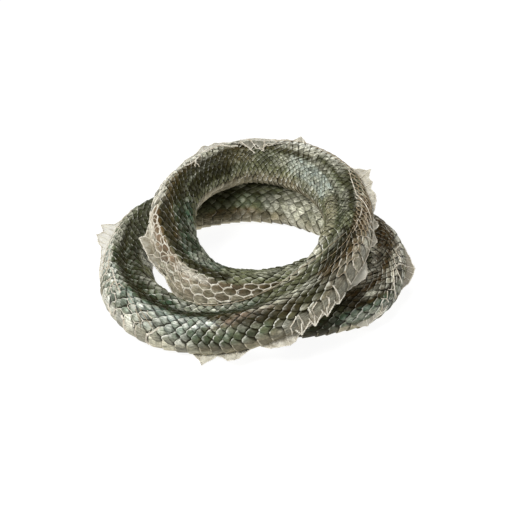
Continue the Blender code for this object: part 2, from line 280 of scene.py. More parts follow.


# %% [markdown]
# ## Where the colours lie
# A dried skin keeps the animal's markings, greyed: a dark, green back, lighter flanks, a tan
# belly. Where the outermost film has come loose it looks milky, or stands up as a cream net. Many
# dark patches are painted shade, in grooves, under the turn above and on undersides, and some
# pale, frosted and milky patches are painted highlights and gloss. Each patch below is a kind of
# finish, the stretch of strand and of angle it covers, and its strength.
# A painted texture would do the same, but single patches are easy to move. They were set by
# comparing renders with the photo, place by place, and a few come from merging overlapping ones.
# Their edges are softened, and bent by slow waves, so that no patch shows its box. Two kinds, net
# and veins, also say where seams stand up between the scales.

# %% The patches
KINDS = ("dark_and_shade", "teal", "brown", "tan", "rosy", "pale", "frost_and_gloss", "milky_and_glint", "net", "veins")
PATCHES = [
    # ring, front and front left: brown cells under a cream net, a dark groove, partly painted
    # shade, a green inner side
    ("net", 54, 160, -110, -34, 1.0), ("teal", 95, 218, -10, 60, 0.95),
    ("brown", 45, 150, -110, -34, 0.3), ("rosy", 106, 160, -100, -40, 0.3),
    ("dark_and_shade", 40, 72, -100, -40, 0.8), ("dark_and_shade", 45, 98, -110, -34, 0.2),
    ("dark_and_shade", 86, 169, -31, -9, 1.0), ("dark_and_shade", 138, 165, -14, -1, 0.8),
    ("dark_and_shade", 112, 178, 8, 36, 0.65), ("pale", 25, 75, -18, 18, 0.3),
    ("pale", 62, 100, -110, -56, 0.35), ("pale", 98, 124, -4, 30, 0.35),
    ("teal", 100, 200, 0, 50, 0.6), ("dark_and_shade", 146, 178, 10, 32, 0.3),
    ("pale", 112, 150, 36, 72, 0.4), ("pale", 118, 150, -96, -78, 0.5),
    ("pale", 95, 175, -125, -60, 0.4), ("milky_and_glint", 100, 122, -52, -35, 0.4),
    # ring, left and back left: a brown flank between a milky crest and a dark groove, partly
    # painted shade
    ("net", 150, 200, -85, -36, 0.6), ("brown", 130, 200, -60, -34, 0.3),
    ("brown", 135, 215, -44, 6, 0.7), ("dark_and_shade", 140, 215, -32, -8, 0.35),
    ("brown", 170, 250, -20, 60, 0.4), ("brown", 150, 300, 96, 130, 0.6),
    ("dark_and_shade", 165, 225, -10, 28, 0.92), ("dark_and_shade", 178, 225, 36, 76, 0.88),
    ("dark_and_shade", 195, 245, -18, 34, 0.5), ("pale", 160, 212, -42, -25, 0.35),
    ("pale", 165, 205, -58, -24, 0.4), ("pale", 210, 240, -36, 6, 0.45),
    ("milky_and_glint", 145, 168, -80, -56, 0.3), ("milky_and_glint", 172, 205, -85, -38, 0.5),
    ("milky_and_glint", 195, 250, -48, -24, 0.6),
    # ring, back and back right: a milky crest with fine seams
    ("veins", 262, 325, -60, -14, 0.8), ("brown", 215, 300, -10, 20, 0.4),
    ("tan", 225, 300, 84, 130, 0.4), ("dark_and_shade", 210, 262, 10, 80, 0.2),
    ("dark_and_shade", 238, 295, -28, 6, 0.6), ("dark_and_shade", 264, 318, 10, 30, 0.72),
    ("dark_and_shade", 298, 321, 34, 48, 0.75), ("dark_and_shade", 300, 362, -18, 8, 0.75),
    ("dark_and_shade", 320, 362, 20, 40, 0.6), ("pale", 222, 262, -30, -14, 0.35),
    ("pale", 264, 300, -11, 12, 0.6), ("pale", 268, 345, 32, 66, 0.4),
    ("pale", 295, 325, 60, 100, 0.4), ("pale", 298, 326, -38, 0, 0.85),
    ("pale", 300, 345, 12, 30, 0.3), ("frost_and_gloss", 285, 335, 30, 76, 0.6),
    ("milky_and_glint", 262, 290, -24, -6, 0.75), ("milky_and_glint", 268, 320, -58, -26, 0.55),
    ("milky_and_glint", 289, 314, -39, -13, 0.9),
    # ring, right: fine cream seams over brown, then wide tan plates
    ("veins", 325, 392, -75, -18, 1.0), ("veins", 388, 432, -80, -36, 0.8),
    ("teal", 320, 385, 8, 45, 0.4), ("brown", 345, 440, -75, -14, 0.9),
    ("brown", 365, 470, -150, -60, 0.4), ("brown", 365, 420, -110, -40, 0.3),
    ("tan", 345, 440, 32, 70, 0.5), ("tan", 383, 430, -127, -44, 0.85),
    ("tan", 425, 450, -127, -64, 0.7), ("dark_and_shade", 325, 395, -36, -13, 0.7),
    ("dark_and_shade", 345, 374, -14, 16, 0.75), ("dark_and_shade", 372, 400, 14, 30, 0.5),
    ("dark_and_shade", 391, 432, -32, 3, 0.97), ("dark_and_shade", 415, 460, -48, -34, 0.35),
    ("dark_and_shade", 416, 436, -130, -110, 0.5), ("pale", 340, 366, -38, -14, 0.45),
    ("pale", 342, 372, 2, 26, 0.35), ("pale", 366, 400, -83, -56, 0.6),
    ("pale", 390, 425, -112, -62, 0.25), ("pale", 398, 425, 40, 75, 0.6),
    ("pale", 398, 418, -6, 14, 0.3), ("pale", 418, 460, 26, 43, 0.45),
    ("pale", 412, 442, -92, -40, 0.2),
    # front strand: a green back with a row of rosy blotches
    ("teal", 440, 545, -115, -30, 0.6), ("teal", 470, 545, -34, 14, 0.8),
    ("brown", 400, 500, -60, -30, 0.35), ("brown", 440, 495, 14, 34, 0.5),
    ("tan", 425, 480, -140, -90, 0.6), ("tan", 455, 466, -50, -36, 0.8),
    ("brown", 452, 506, -62, -24, 0.6), ("rosy", 463, 476, -38, -25, 0.8),
    ("rosy", 474, 485, -44, -32, 0.75), ("rosy", 483, 494, -56, -44, 0.7),
    ("dark_and_shade", 420, 480, -62, -36, 0.6), ("dark_and_shade", 420, 478, -40, -2, 0.4),
    ("dark_and_shade", 430, 520, -130, -70, 0.25), ("dark_and_shade", 444, 500, 7, 28, 0.8),
    ("dark_and_shade", 464, 520, -32, -8, 0.55), ("dark_and_shade", 464, 486, -68, -46, 0.85),
    ("dark_and_shade", 486, 508, -42, -30, 0.7), ("dark_and_shade", 498, 520, 6, 24, 0.5),
    ("dark_and_shade", 498, 535, -122, -88, 0.35), ("dark_and_shade", 534, 548, -78, -56, 0.8),
    ("dark_and_shade", 540, 562, 8, 26, 0.6), ("pale", 422, 467, -124, -77, 0.4),
    ("pale", 430, 475, 40, 60, 0.6), ("pale", 438, 475, -35, -18, 0.4),
    ("pale", 474, 500, -76, -60, 0.25), ("pale", 482, 530, -4, 12, 0.35),
    ("pale", 496, 526, -144, -122, 0.35), ("pale", 515, 570, 10, 32, 0.35),
    ("pale", 516, 564, -127, -83, 0.4), ("pale", 521, 550, -100, -50, 0.4),
    ("frost_and_gloss", 496, 518, -56, -42, 0.75), ("frost_and_gloss", 505, 590, -50, -31, 0.5),
    ("frost_and_gloss", 512, 600, -80, -50, 0.3),
    # left loop: frosted green over a dark groove, partly painted shade
    ("veins", 535, 600, -95, -45, 0.55), ("veins", 590, 660, -100, -35, 0.65),
    ("teal", 520, 612, -70, 28, 0.7), ("teal", 600, 700, -60, 30, 0.4),
    ("brown", 540, 600, -125, -80, 0.3), ("dark_and_shade", 505, 640, -25, -6, 1.0),
    ("dark_and_shade", 550, 600, -16, 14, 0.5), ("dark_and_shade", 560, 615, 8, 36, 0.8),
    ("dark_and_shade", 565, 588, -68, -52, 0.35), ("dark_and_shade", 575, 600, -46, -30, 0.25),
    ("dark_and_shade", 590, 700, -34, 25, 0.6), ("dark_and_shade", 615, 660, 0, 34, 0.6),
    ("pale", 549, 577, -106, -77, 0.65), ("pale", 565, 588, -38, -22, 0.3),
    ("pale", 588, 614, -54, -37, 0.85), ("pale", 599, 627, 37, 75, 0.9),
    ("pale", 614, 660, -38, -22, 0.4), ("frost_and_gloss", 595, 640, -75, -42, 0.6),
    ("milky_and_glint", 548, 578, -96, -78, 0.5), ("milky_and_glint", 597, 625, 43, 94, 0.75),
    # lower turn, at the back: painted shade above, under the ring, tan below, paler to the right
    ("veins", 755, 800, 55, 85, 0.35), ("teal", 700, 760, 35, 75, 0.5),
    ("brown", 699, 741, 78, 130, 0.82), ("brown", 738, 775, 88, 130, 0.35),
    ("tan", 720, 805, 85, 130, 0.5), ("dark_and_shade", 670, 728, 25, 125, 0.8),
    ("dark_and_shade", 720, 745, -10, 40, 0.5), ("dark_and_shade", 724, 756, 92, 135, 0.5),
    ("dark_and_shade", 738, 802, 26, 60, 0.65), ("dark_and_shade", 745, 765, -10, 12, 0.4),
    ("dark_and_shade", 746, 802, 50, 88, 0.4), ("dark_and_shade", 770, 800, 27, 50, 0.7),
    ("dark_and_shade", 772, 800, 100, 122, 0.2), ("pale", 715, 735, 8, 22, 0.3),
    ("pale", 748, 805, 40, 85, 0.45), ("pale", 765, 812, -10, 135, 0.45),
    ("pale", 792, 812, 68, 84, 0.6),
    # right loop: brown on top, large cells outside, dark green below, darkened by painted shade
    ("veins", 820, 852, -62, -12, 0.35), ("veins", 885, 915, -40, -14, 0.3),
    ("teal", 885, 985, -130, -60, 0.9), ("brown", 826, 930, -60, 31, 1.0),
    ("tan", 868, 900, -100, -46, 0.45), ("dark_and_shade", 850, 950, -40, -5, 0.4),
    ("dark_and_shade", 866, 925, -66, -46, 0.55), ("dark_and_shade", 890, 912, -128, -70, 0.25),
    ("dark_and_shade", 900, 960, -60, -30, 0.75), ("dark_and_shade", 938, 990, -145, -60, 1.0),
    ("pale", 815, 875, -62, -40, 0.6), ("pale", 815, 838, -24, -6, 0.35),
    ("pale", 840, 862, -54, -36, 0.8), ("pale", 842, 862, 22, 38, 0.35),
    ("pale", 845, 880, 22, 45, 0.7), ("pale", 868, 914, -4, 32, 0.4),
    ("pale", 866, 900, -50, -20, 0.4), ("pale", 890, 930, 10, 40, 0.7),
    ("pale", 893, 922, -50, -32, 0.65), ("pale", 895, 925, -16, 2, 0.3),
    ("pale", 895, 935, -95, -78, 0.4), ("frost_and_gloss", 895, 915, -125, -100, 0.6),
]
PATCH_FEATHER = (8.0, 6.0)
PATCH_BEND = (3.0, 2.0)
DARK_SPINE = 0.25
DARK_BLOTCH = 0.35
HOLLOW_SHADE = 0.35


def waves(along, degrees, seed, lengths=(61.0, 37.0, 23.0, 13.0)):
    """A slow, repeatable unevenness between about -1 and 1."""
    total = 0.0
    for step, length in enumerate(lengths):
        turns = ((seed * 3 + step * 5) % 5) - 2
        phase = 1.7 * seed + 2.3 * step
        total = total + np.sin(2 * np.pi * along / length + np.radians(turns * degrees) + phase)
    return total / (0.7 * len(lengths))


def cover_by_patches(along, degrees):
    """For each kind of finish, how strongly its own patches cover these places."""
    bent_along = along + PATCH_BEND[0] * waves(along, degrees, 1)
    bent_degrees = degrees + PATCH_BEND[1] * waves(along, degrees, 2)
    clear = {kind: 1.0 for kind in KINDS}
    for kind, start, end, low, high, strength in PATCHES:
        inside_along = np.minimum(bent_along - start, end - bent_along) / PATCH_FEATHER[0]
        around = (bent_degrees - (low + high) / 2 + 180.0) % 360.0 - 180.0
        inside_around = ((high - low) / 2 - np.abs(around)) / PATCH_FEATHER[1]
        cover = smooth(0.5 + inside_along) * smooth(0.5 + inside_around)
        clear[kind] = clear[kind] * (1.0 - strength * cover)
    return {kind: 1.0 - clear[kind] for kind in KINDS}


def patch_masks(along, degrees):
    """Cover of each finish, with what the whole skin has: a dark spine, painted shade in the hollows
    of the creases and dents, a tan belly.
    """
    masks = cover_by_patches(along, degrees)
    share = share_of_angle(along, degrees)
    spine = np.exp(-(share / 0.3) ** 2)
    blotch = smooth(waves(along, degrees, 3, (43.0, 29.0, 17.0)) - 0.1)
    # painted shade: the deeper the skin sags here, the darker it is
    hollow = smooth(sag_depth(along, degrees) / 3.0 - 0.25)
    masks["dark_and_shade"] = 1 - (1 - masks["dark_and_shade"]) * (1 - DARK_SPINE * spine) * (
        1 - DARK_BLOTCH * blotch) * (1 - HOLLOW_SHADE * hollow)
    masks["tan"] = np.maximum(masks["tan"], smooth((np.abs(share) - 0.8) / 0.25))
    green_back = 0.25 * smooth(1 - np.abs(share))
    masks["teal"] = np.maximum(masks["teal"], green_back) * (
        1 - 0.9 * np.maximum(masks["net"], 0.7 * masks["veins"]))
    return masks


probe = patch_masks(np.array([80.0, 130.0, 400.0]), np.array([-60.0, 5.0, -50.0]))
print("net, teal and brown at three places:", probe["net"][0].round(2), probe["teal"][1].round(2),
      probe["brown"][2].round(2))

# %% [markdown]
# ## One way to make every piece
# Each piece is a mesh built from arrays of points and faces. Besides its shape, every point
# carries a few numbers, such as how dark or how far along its scale it is. The materials read
# them as attributes, so one material can colour thousands of scales differently.

# %% Mesh helper
SHARP_ON_SCALES = 38.0
SHARP_ON_ROUND = 60.0

made_pieces = []


def new_piece(name, points, faces, material, numbers, sharp_degrees=SHARP_ON_SCALES):
    """A mesh object from points in millimetres. Edges bent more than sharp_degrees stay crisp."""
    mesh = bpy.data.meshes.new(name)
    mesh.from_pydata((points.reshape(-1, 3) * MM).tolist(), [], faces.tolist())
    for label, values in numbers.items():
        layer = mesh.attributes.new(label, "FLOAT", "POINT")
        layer.data.foreach_set("value", np.asarray(values, np.float32).ravel())
    mesh.materials.append(material)
    mesh.shade_smooth()
    mesh.set_sharp_from_angle(angle=math.radians(sharp_degrees))
    piece = bpy.data.objects.new(name, mesh)
    bpy.context.scene.collection.objects.link(piece)
    made_pieces.append(piece)
    print(f"{name}: {sum(len(face.vertices) - 2 for face in mesh.polygons)} triangles")
    return piece


def grid_faces(rows, columns, wrap=False):
    """Four-sided faces of a grid of points, as indices. A wrapped grid closes on itself."""
    row, column = np.meshgrid(np.arange(rows - 1), np.arange(columns if wrap else columns - 1),
                              indexing="ij")
    after = (column + 1) % columns
    corners = [row * columns + column, row * columns + after,
               (row + 1) * columns + after, (row + 1) * columns + column]
    return np.stack(corners, -1).reshape(-1, 4)


def repeat_faces(one, points_each, count):
    """The faces of one small mesh, for count of them whose points follow one another."""
    return (one[None] + points_each * np.arange(count)[:, None, None]).reshape(-1, 4)


# %% [markdown]
# ## Shared material effects
# Dry keratin is finely streaked, so one node group makes that grain for every material. A second
# group makes the long streaks that run with the strand. A third turns the patch numbers into a
# colour: it starts from the grey-green of the flank and lays the finishes over it one by one. A
# fourth paints the shadow in the gap round a scale, where it is tucked in, and a highlight on its
# free edge.

# %% Node helpers
def plug(tree, socket, value):
    """Link a socket to another node's output, or set it to a plain value."""
    if isinstance(value, bpy.types.NodeSocket):
        tree.links.new(value, socket)
    else:
        socket.default_value = value


def add_node(tree, kind, inputs=None, **settings):
    node = tree.nodes.new(kind)
    for name, value in settings.items():
        setattr(node, name, value)
    for name, value in (inputs or {}).items():
        plug(tree, node.inputs[name], value)
    return node


def maths(tree, operation, first, second=0.0, clamp=False):
    inputs = {0: first, 1: second}
    return add_node(tree, "ShaderNodeMath", inputs, operation=operation, use_clamp=clamp).outputs[0]


def remap(tree, value, low, high, to_low=0.0, to_high=1.0):
    inputs = {"Value": value, "From Min": low, "From Max": high, "To Min": to_low, "To Max": to_high}
    return add_node(tree, "ShaderNodeMapRange", inputs).outputs["Result"]


def spread_noise(tree, noise, to_low, to_high):
    """Noise lies mostly between 0.3 and 0.7. This spreads it from one number to another."""
    return remap(tree, noise, 0.3, 0.7, to_low, to_high)


def blend_colour(tree, amount, under, over):
    inputs = {0: amount, 6: under, 7: over}
    return add_node(tree, "ShaderNodeMix", inputs, data_type="RGBA").outputs[2]


def from_screen(red, green, blue):
    """A colour given as it looks on screen, 0 to 255, as the light it stands for."""
    values = np.array([red, green, blue]) / 255.0
    linear = np.where(values <= 0.04045, values / 12.92, ((values + 0.055) / 1.055) ** 2.4)
    return (*linear.tolist(), 1.0)


def new_group(name, inputs, outputs):
    tree = bpy.data.node_groups.new(name, "ShaderNodeTree")
    for label, default in inputs.items():
        kind = "NodeSocketVector" if default is None else "NodeSocketFloat"
        socket = tree.interface.new_socket(name=label, in_out="INPUT", socket_type=kind)
        if default is not None:
            socket.default_value = default
    for label, kind in outputs.items():
        tree.interface.new_socket(name=label, in_out="OUTPUT", socket_type=kind)
    return tree, tree.nodes.new("NodeGroupInput"), tree.nodes.new("NodeGroupOutput")


def use_group(tree, group, inputs):
    return add_node(tree, "ShaderNodeGroup", inputs, node_tree=group)


# %% Grain of dry keratin
grain_group, grain_in, grain_out = new_group(
    "dry_keratin_grain", {"Place": None, "Fineness": 900.0},
    {"Height": "NodeSocketFloat", "Mottle": "NodeSocketFloat"})
fine = add_node(grain_group, "ShaderNodeTexNoise", {
    "Vector": grain_in.outputs["Place"], "Scale": grain_in.outputs["Fineness"], "Detail": 4.0,
    "Roughness": 0.65})
broad = add_node(grain_group, "ShaderNodeTexNoise", {
    "Vector": grain_in.outputs["Place"], "Scale": 300.0, "Detail": 3.0, "Roughness": 0.6})
grain_height = maths(grain_group, "ADD", maths(grain_group, "MULTIPLY", fine.outputs["Fac"], 0.6),
                     maths(grain_group, "MULTIPLY", broad.outputs["Fac"], 0.4))
grain_group.links.new(grain_height, grain_out.inputs["Height"])
grain_group.links.new(broad.outputs["Fac"], grain_out.inputs["Mottle"])

# %% Lengthwise streaks of the dried skin
STREAK_SQUEEZE = 0.28
streak_group, streak_in, streak_out = new_group(
    "lengthwise_streaks", {"Along": 0.0, "Round": 0.0}, {"Streak": "NodeSocketFloat"})
streak_place = add_node(streak_group, "ShaderNodeCombineXYZ", {
    "X": maths(streak_group, "MULTIPLY", streak_in.outputs["Along"], STREAK_SQUEEZE),
    "Y": streak_in.outputs["Round"]}).outputs[0]
streak_noise = add_node(streak_group, "ShaderNodeTexNoise", {
    "Vector": streak_place, "Scale": 1.0, "Detail": 3.0, "Roughness": 0.6})
streak_group.links.new(streak_noise.outputs["Fac"], streak_out.inputs["Streak"])

# %% Colours of the skin
FLANK = from_screen(120, 120, 88)
SKIN_COLOURS = {
    "net": from_screen(120, 109, 88),
    "teal": from_screen(60, 85, 66),
    "brown": from_screen(99, 75, 45),
    "tan": from_screen(156, 148, 124),
    "rosy": from_screen(164, 143, 125),
    # dark markings, and painted shade in grooves, hollows, under the turn above and on undersides
    "dark_and_shade": from_screen(34, 31, 6),
    # pale skin, and in places painted highlights
    "pale": from_screen(203, 202, 182),
    # frosted film, and painted gloss where the light catches the skin
    "frost_and_gloss": from_screen(180, 192, 182),
    # milky film, and the painted glints of the scales
    "milky_and_glint": from_screen(231, 231, 218),
}
colour_group, colour_in, colour_out = new_group(
    "shed_skin_colours", {kind: 0.0 for kind in SKIN_COLOURS} | {
        "tone": 0.5, "mottle": 0.5, "streak": 0.5, "grain": 0.5},
    {"Colour": "NodeSocketColor"})
colour = FLANK
for kind, over in SKIN_COLOURS.items():
    amount = colour_in.outputs[kind]
    source = "streak" if kind in ("dark_and_shade", "pale", "frost_and_gloss", "milky_and_glint") else "mottle"
    uneven = spread_noise(colour_group, colour_in.outputs[source], 0.45, 1.4)
    amount = maths(colour_group, "MULTIPLY", amount, uneven, clamp=True)
    colour = blend_colour(colour_group, amount, colour, over)
tone_shade = remap(colour_group, colour_in.outputs["tone"], 0.0, 1.0, 0.54, 1.5)
streak_shade = spread_noise(colour_group, colour_in.outputs["streak"], 0.55, 1.35)
tone_shade = maths(colour_group, "MULTIPLY", tone_shade, streak_shade)
grain_shade = remap(colour_group, colour_in.outputs["grain"], 0.36, 0.64, 0.66, 1.33)
tone_shade = maths(colour_group, "MULTIPLY", tone_shade, grain_shade)
shades = {"X": tone_shade, "Y": tone_shade, "Z": tone_shade}
shade_vector = add_node(colour_group, "ShaderNodeCombineXYZ", shades).outputs[0]
tinted = add_node(colour_group, "ShaderNodeVectorMath", {0: colour, 1: shade_vector},
                  operation="MULTIPLY")
colour_group.links.new(tinted.outputs[0], colour_out.inputs["Colour"])

# %% Painted shadow in the gap round a scale, and a painted highlight on its free edge
edge_group, edge_in, edge_out = new_group(
    "painted_scale_shadow_and_highlight", {"cover": 1.0, "edge": 0.0, "depth": 0.0, "mottle": 0.5},
    {"Shadow": "NodeSocketFloat", "Edge": "NodeSocketFloat"})
# painted shadow where the scale is tucked under its neighbours and down its sunk rim
tucked = remap(edge_group, edge_in.outputs["cover"], 0.12, 0.50, 1.0, 0.0)
sunk = remap(edge_group, edge_in.outputs["depth"], 0.0, 0.22, 0.0, 1.0)
shadow = maths(edge_group, "MAXIMUM", tucked, sunk)
# noise breaks the painted highlight up, so that only some edges are lit
patchy_highlight = remap(edge_group, edge_in.outputs["mottle"], 0.42, 0.56, 0.1, 1.0)
free_edge = remap(edge_group, edge_in.outputs["edge"], 0.35, 0.85, 0.0, 1.0)
light_edge = maths(edge_group, "MULTIPLY", free_edge, patchy_highlight)
above = maths(edge_group, "SUBTRACT", 1.0, sunk)
light_edge = maths(edge_group, "MULTIPLY", light_edge, above)
edge_group.links.new(shadow, edge_out.inputs["Shadow"])
edge_group.links.new(light_edge, edge_out.inputs["Edge"])
print("node groups:", [group.name for group in bpy.data.node_groups])

# %% [markdown]
# ## The finish of the skin
# Scales, belly plates and the skin between them are one dry material, with painted shadow in its
# gaps and painted highlights on its free edges, and a dull sheen where the outer film is pale or
# frosted. It could be three materials drawn by hand, but they differ only in a few strengths, so
# one function makes all three from the shared groups. A clear coat, stronger on pale skin, gives
# the sheen.

# %% A material for scales, plates and the skin between them
def attribute(tree, name):
    return add_node(tree, "ShaderNodeAttribute", attribute_name=name).outputs["Fac"]


def new_material(name):
    material = bpy.data.materials.new(name)
    material.use_nodes = True
    return material, material.node_tree, material.node_tree.nodes["Principled BSDF"]


def grain_bump(tree, shader, grain, strength, height):
    bump = add_node(tree, "ShaderNodeBump", {
        "Strength": strength, "Distance": height, "Height": grain.outputs["Height"]})
    tree.links.new(bump.outputs["Normal"], shader.inputs["Normal"])


def gloss_weight(tree, most):
    """Pale and frosted skin shines most, green skin half as much, dark skin not at all."""
    glossy = maths(tree, "ADD", attribute(tree, "pale"), attribute(tree, "frost_and_gloss"))
    glossy = maths(tree, "ADD", glossy, maths(tree, "MULTIPLY", attribute(tree, "teal"), 0.5))
    glossy = maths(tree, "SUBTRACT", glossy, attribute(tree, "dark_and_shade"), clamp=True)
    return remap(tree, glossy, 0.1, 0.9, 0.0, most)


def skin_material(name, shadow, edge, roughness, bump_height, gloss):
    """Shadow and edge are each a colour and how strongly it shows.

    The painted shadow is lighter under the net, and the painted highlights duller on dark skin.
    """
    material, tree, shader = new_material(name)
    place = add_node(tree, "ShaderNodeTexCoord").outputs["Object"]
    grain = use_group(tree, grain_group, {"Place": place, "Fineness": 900.0})
    mottle = grain.outputs["Mottle"]
    streaks = use_group(tree, streak_group, {
        "Along": attribute(tree, "mm_along"), "Round": attribute(tree, "mm_round")})
    inputs = {kind: attribute(tree, kind) for kind in [*SKIN_COLOURS, "tone"]}
    inputs |= {"mottle": mottle, "streak": streaks.outputs["Streak"],
               "grain": grain.outputs["Height"]}
    colours = use_group(tree, colour_group, inputs)
    inputs = {part: attribute(tree, part) for part in ("cover", "edge", "depth")}
    edges = use_group(tree, edge_group, inputs | {"mottle": mottle})
    gap_here = remap(tree, attribute(tree, "net"), 0.2, 0.9, shadow[1], 0.3 * shadow[1])
    shaded = blend_colour(tree, maths(tree, "MULTIPLY", edges.outputs["Shadow"], gap_here),
                          colours.outputs["Colour"], shadow[0])
    edge_here = remap(tree, attribute(tree, "dark_and_shade"), 0.2, 0.9, edge[1], 0.35 * edge[1])
    edged = blend_colour(tree, maths(tree, "MULTIPLY", edges.outputs["Edge"], edge_here),
                         shaded, edge[0])
    tree.links.new(edged, shader.inputs["Base Color"])
    uneven_gloss = spread_noise(tree, mottle, roughness - 0.1, roughness + 0.18)
    tree.links.new(uneven_gloss, shader.inputs["Roughness"])
    grain_bump(tree, shader, grain, 0.5, bump_height)
    tree.links.new(gloss_weight(tree, gloss), shader.inputs["Coat Weight"])
    shader.inputs["Coat Roughness"].default_value = 0.36
    shader.inputs["Specular IOR Level"].default_value = 0.08
    return material


# %% The three finishes of the skin
# the colour of the painted shadow in the gaps
GAP_SHADE = from_screen(26, 22, 2)
back_finish = skin_material(
    "back_scale_keratin", shadow=(GAP_SHADE, 0.95), edge=(from_screen(232, 231, 218), 1.0),
    roughness=0.38, bump_height=0.00025, gloss=0.5)
# the belly plates get a lighter painted shadow and a softer painted highlight
belly_finish = skin_material(
    "belly_plate_keratin", shadow=(from_screen(62, 55, 38), 0.45),
    edge=(from_screen(222, 214, 190), 0.7), roughness=0.45, bump_height=0.00025, gloss=0.3)
# the skin between the scales is painted all in shade, with no highlight
inner_finish = skin_material(
    "skin_between_scales", shadow=(GAP_SHADE, 0.95), edge=(GAP_SHADE, 0.0), roughness=0.7,
    bump_height=0.0003, gloss=0.0)
print("finishes:", [finish.name for finish in (back_finish, belly_finish, inner_finish)])

# %% [markdown]
# ## The skin between the scales
# Under the scales lies the thin skin that joins them. It shows as dark lines in the gaps, for its
# colour is painted shade, nearly black all over. A tube of rings along the strand does it, a little
# lower than the scales. At the torn head end the tube turns in on itself, so that one looks into a
# hollow mouth, and at the tail it runs out to a tip.

# %% Inner skin
INNER_HEIGHT = -1.15
RING_STEP = 3.0
RING_POINTS = 48
MOUTH_DEPTH = 22.0
MOUTH_RINGS = 8
WALL = 1.0
TAIL_TIP = 1.5

ring_at = np.linspace(0.0, LENGTH, int(LENGTH / RING_STEP))
ring_degrees = np.arange(RING_POINTS) * 360.0 / RING_POINTS
mouth_at = np.linspace(MOUTH_DEPTH, 0.0, MOUTH_RINGS)
outside = skin(ring_at[:, None], ring_degrees, INNER_HEIGHT)
mouth_wall = skin(mouth_at[:, None], ring_degrees, INNER_HEIGHT - WALL)
mouth_centre = strand_at(MOUTH_DEPTH)[0]
tail_centre, _, tail_forward, _, _ = strand_at(LENGTH)
mouth_end, tail_end = [np.tile(point, (1, RING_POINTS, 1))
                       for point in (mouth_centre, tail_centre + TAIL_TIP * tail_forward)]
tube = np.concatenate([mouth_end, mouth_wall, outside, tail_end])
tube_at = np.r_[MOUTH_DEPTH, mouth_at, ring_at, LENGTH]
tube_at, tube_degrees = np.meshgrid(tube_at, ring_degrees, indexing="ij")
tube_masks = patch_masks(tube_at, tube_degrees)
inner_numbers = {kind: tube_masks[kind] for kind in SKIN_COLOURS}
inner_numbers |= {"mm_along": tube_at, "mm_round": MM_PER_DEGREE * tube_degrees}
# cover 0.1 paints the whole inner skin in shade
for label, value in {"tone": 0.2, "cover": 0.1, "edge": 0.0, "depth": 0.0}.items():
    inner_numbers[label] = np.full(tube_at.shape, value)
new_piece("skin_between_scales", tube, grid_faces(len(tube), RING_POINTS, wrap=True),
          inner_finish, inner_numbers, SHARP_ON_ROUND)

# %% [markdown]
# ## The scales of the back
# Every scale is a small flat leaf. Its root is tucked under the scales before it and its free edge
# stands a little proud, which gives the skin part of its dark outlines and its glitter. The rest is
# painted: painted shadow in the gaps, painted highlights on the free edges and painted glints on
# some scales. They could be one bumpy texture, but the outlines would then be flat, so each is its
# own small mesh: a grid of points over the leaf, and a rim that goes down into the skin below.
# Along the spine the leaves are pointed; down the flanks and under the net they are blunt, like
# bricks. No two are alike, so random numbers move each a little and give it its own tone, and one
# side of each leaf is painted lighter, as if lit from that side.

# %% Leaf shape of one scale
rng = np.random.default_rng(27)
LEAF_ALONG = np.array([-0.60, -0.46, -0.30, -0.14, 0.02, 0.18, 0.34, 0.45, 0.51])
POINTED = np.array([0.35, 0.60, 0.80, 0.93, 0.96, 0.76, 0.50, 0.29, 0.14])
BLUNT = np.array([0.40, 0.52, 0.64, 0.73, 0.77, 0.70, 0.60, 0.53, 0.42])
LEAF_ACROSS = np.array([-1.0, -0.6, 0.0, 0.6, 1.0])
ROOT_HEIGHT = -0.62
EDGE_HEIGHT = 0.24
CROWN = 0.38
RIM_HEIGHT = -1.25
OVERLAP = 0.49


def leaf_faces(rows, columns):
    """Faces of the leaf's grid, then of the rim round its two sides and its free end."""
    top = grid_faces(rows, columns)
    left = np.arange(rows) * columns
    end = (rows - 1) * columns + np.arange(columns)
    right = np.arange(rows - 1, -1, -1) * columns + columns - 1
    walk = np.r_[left, end[1:], right[1:]]
    below = rows * columns + np.arange(len(walk))
    rim = np.stack([walk[:-1], below[:-1], below[1:], walk[1:]], -1)
    return np.vstack([top, rim]), walk


def with_rim(values, walk, rim_value=None):
    """A number for every point of the leaves, and for the points of their rims."""
    flat = values.reshape(len(values), -1)
    rim = flat[:, walk] if rim_value is None else np.full((len(flat), len(walk)), rim_value)
    return np.concatenate([flat, rim], 1)


def lay_leaves(along, degrees, height, walk):
    """Points of many leaves at once: their grids, and their rims sunk into the skin."""
    return skin(with_rim(along, walk), with_rim(degrees, walk), with_rim(height, walk, RIM_HEIGHT))


def leaf_numbers(masks, along, degrees, walk):
    """Finishes, and places along and around in millimetres for the streaks, at every point."""
    numbers = {kind: with_rim(masks[kind], walk) for kind in SKIN_COLOURS}
    return numbers | {"mm_along": with_rim(along, walk),
                      "mm_round": with_rim(MM_PER_DEGREE * degrees, walk)}


def per_leaf(values):
    """One value per leaf, shaped to be used with the leaves' grids of points."""
    return values[:, None, None]


scale_faces, scale_walk = leaf_faces(len(LEAF_ALONG), len(LEAF_ACROSS))
print("triangles in one scale:", 2 * len(scale_faces))

# %% Every scale's rise, and its painted highlights: a light edge, a glint and a sparkling tip
u, v = [grid[None] for grid in np.meshgrid(LEAF_ALONG, LEAF_ACROSS, indexing="ij")]
leaf_rise = np.interp(u, [-0.6, 0.02, 0.30, 0.45, 0.51], [0.0, 0.80, 1.05, 0.95, 0.76])
side_edge = np.abs(v) ** 2.5 * smooth((u + 0.25) / 0.3)
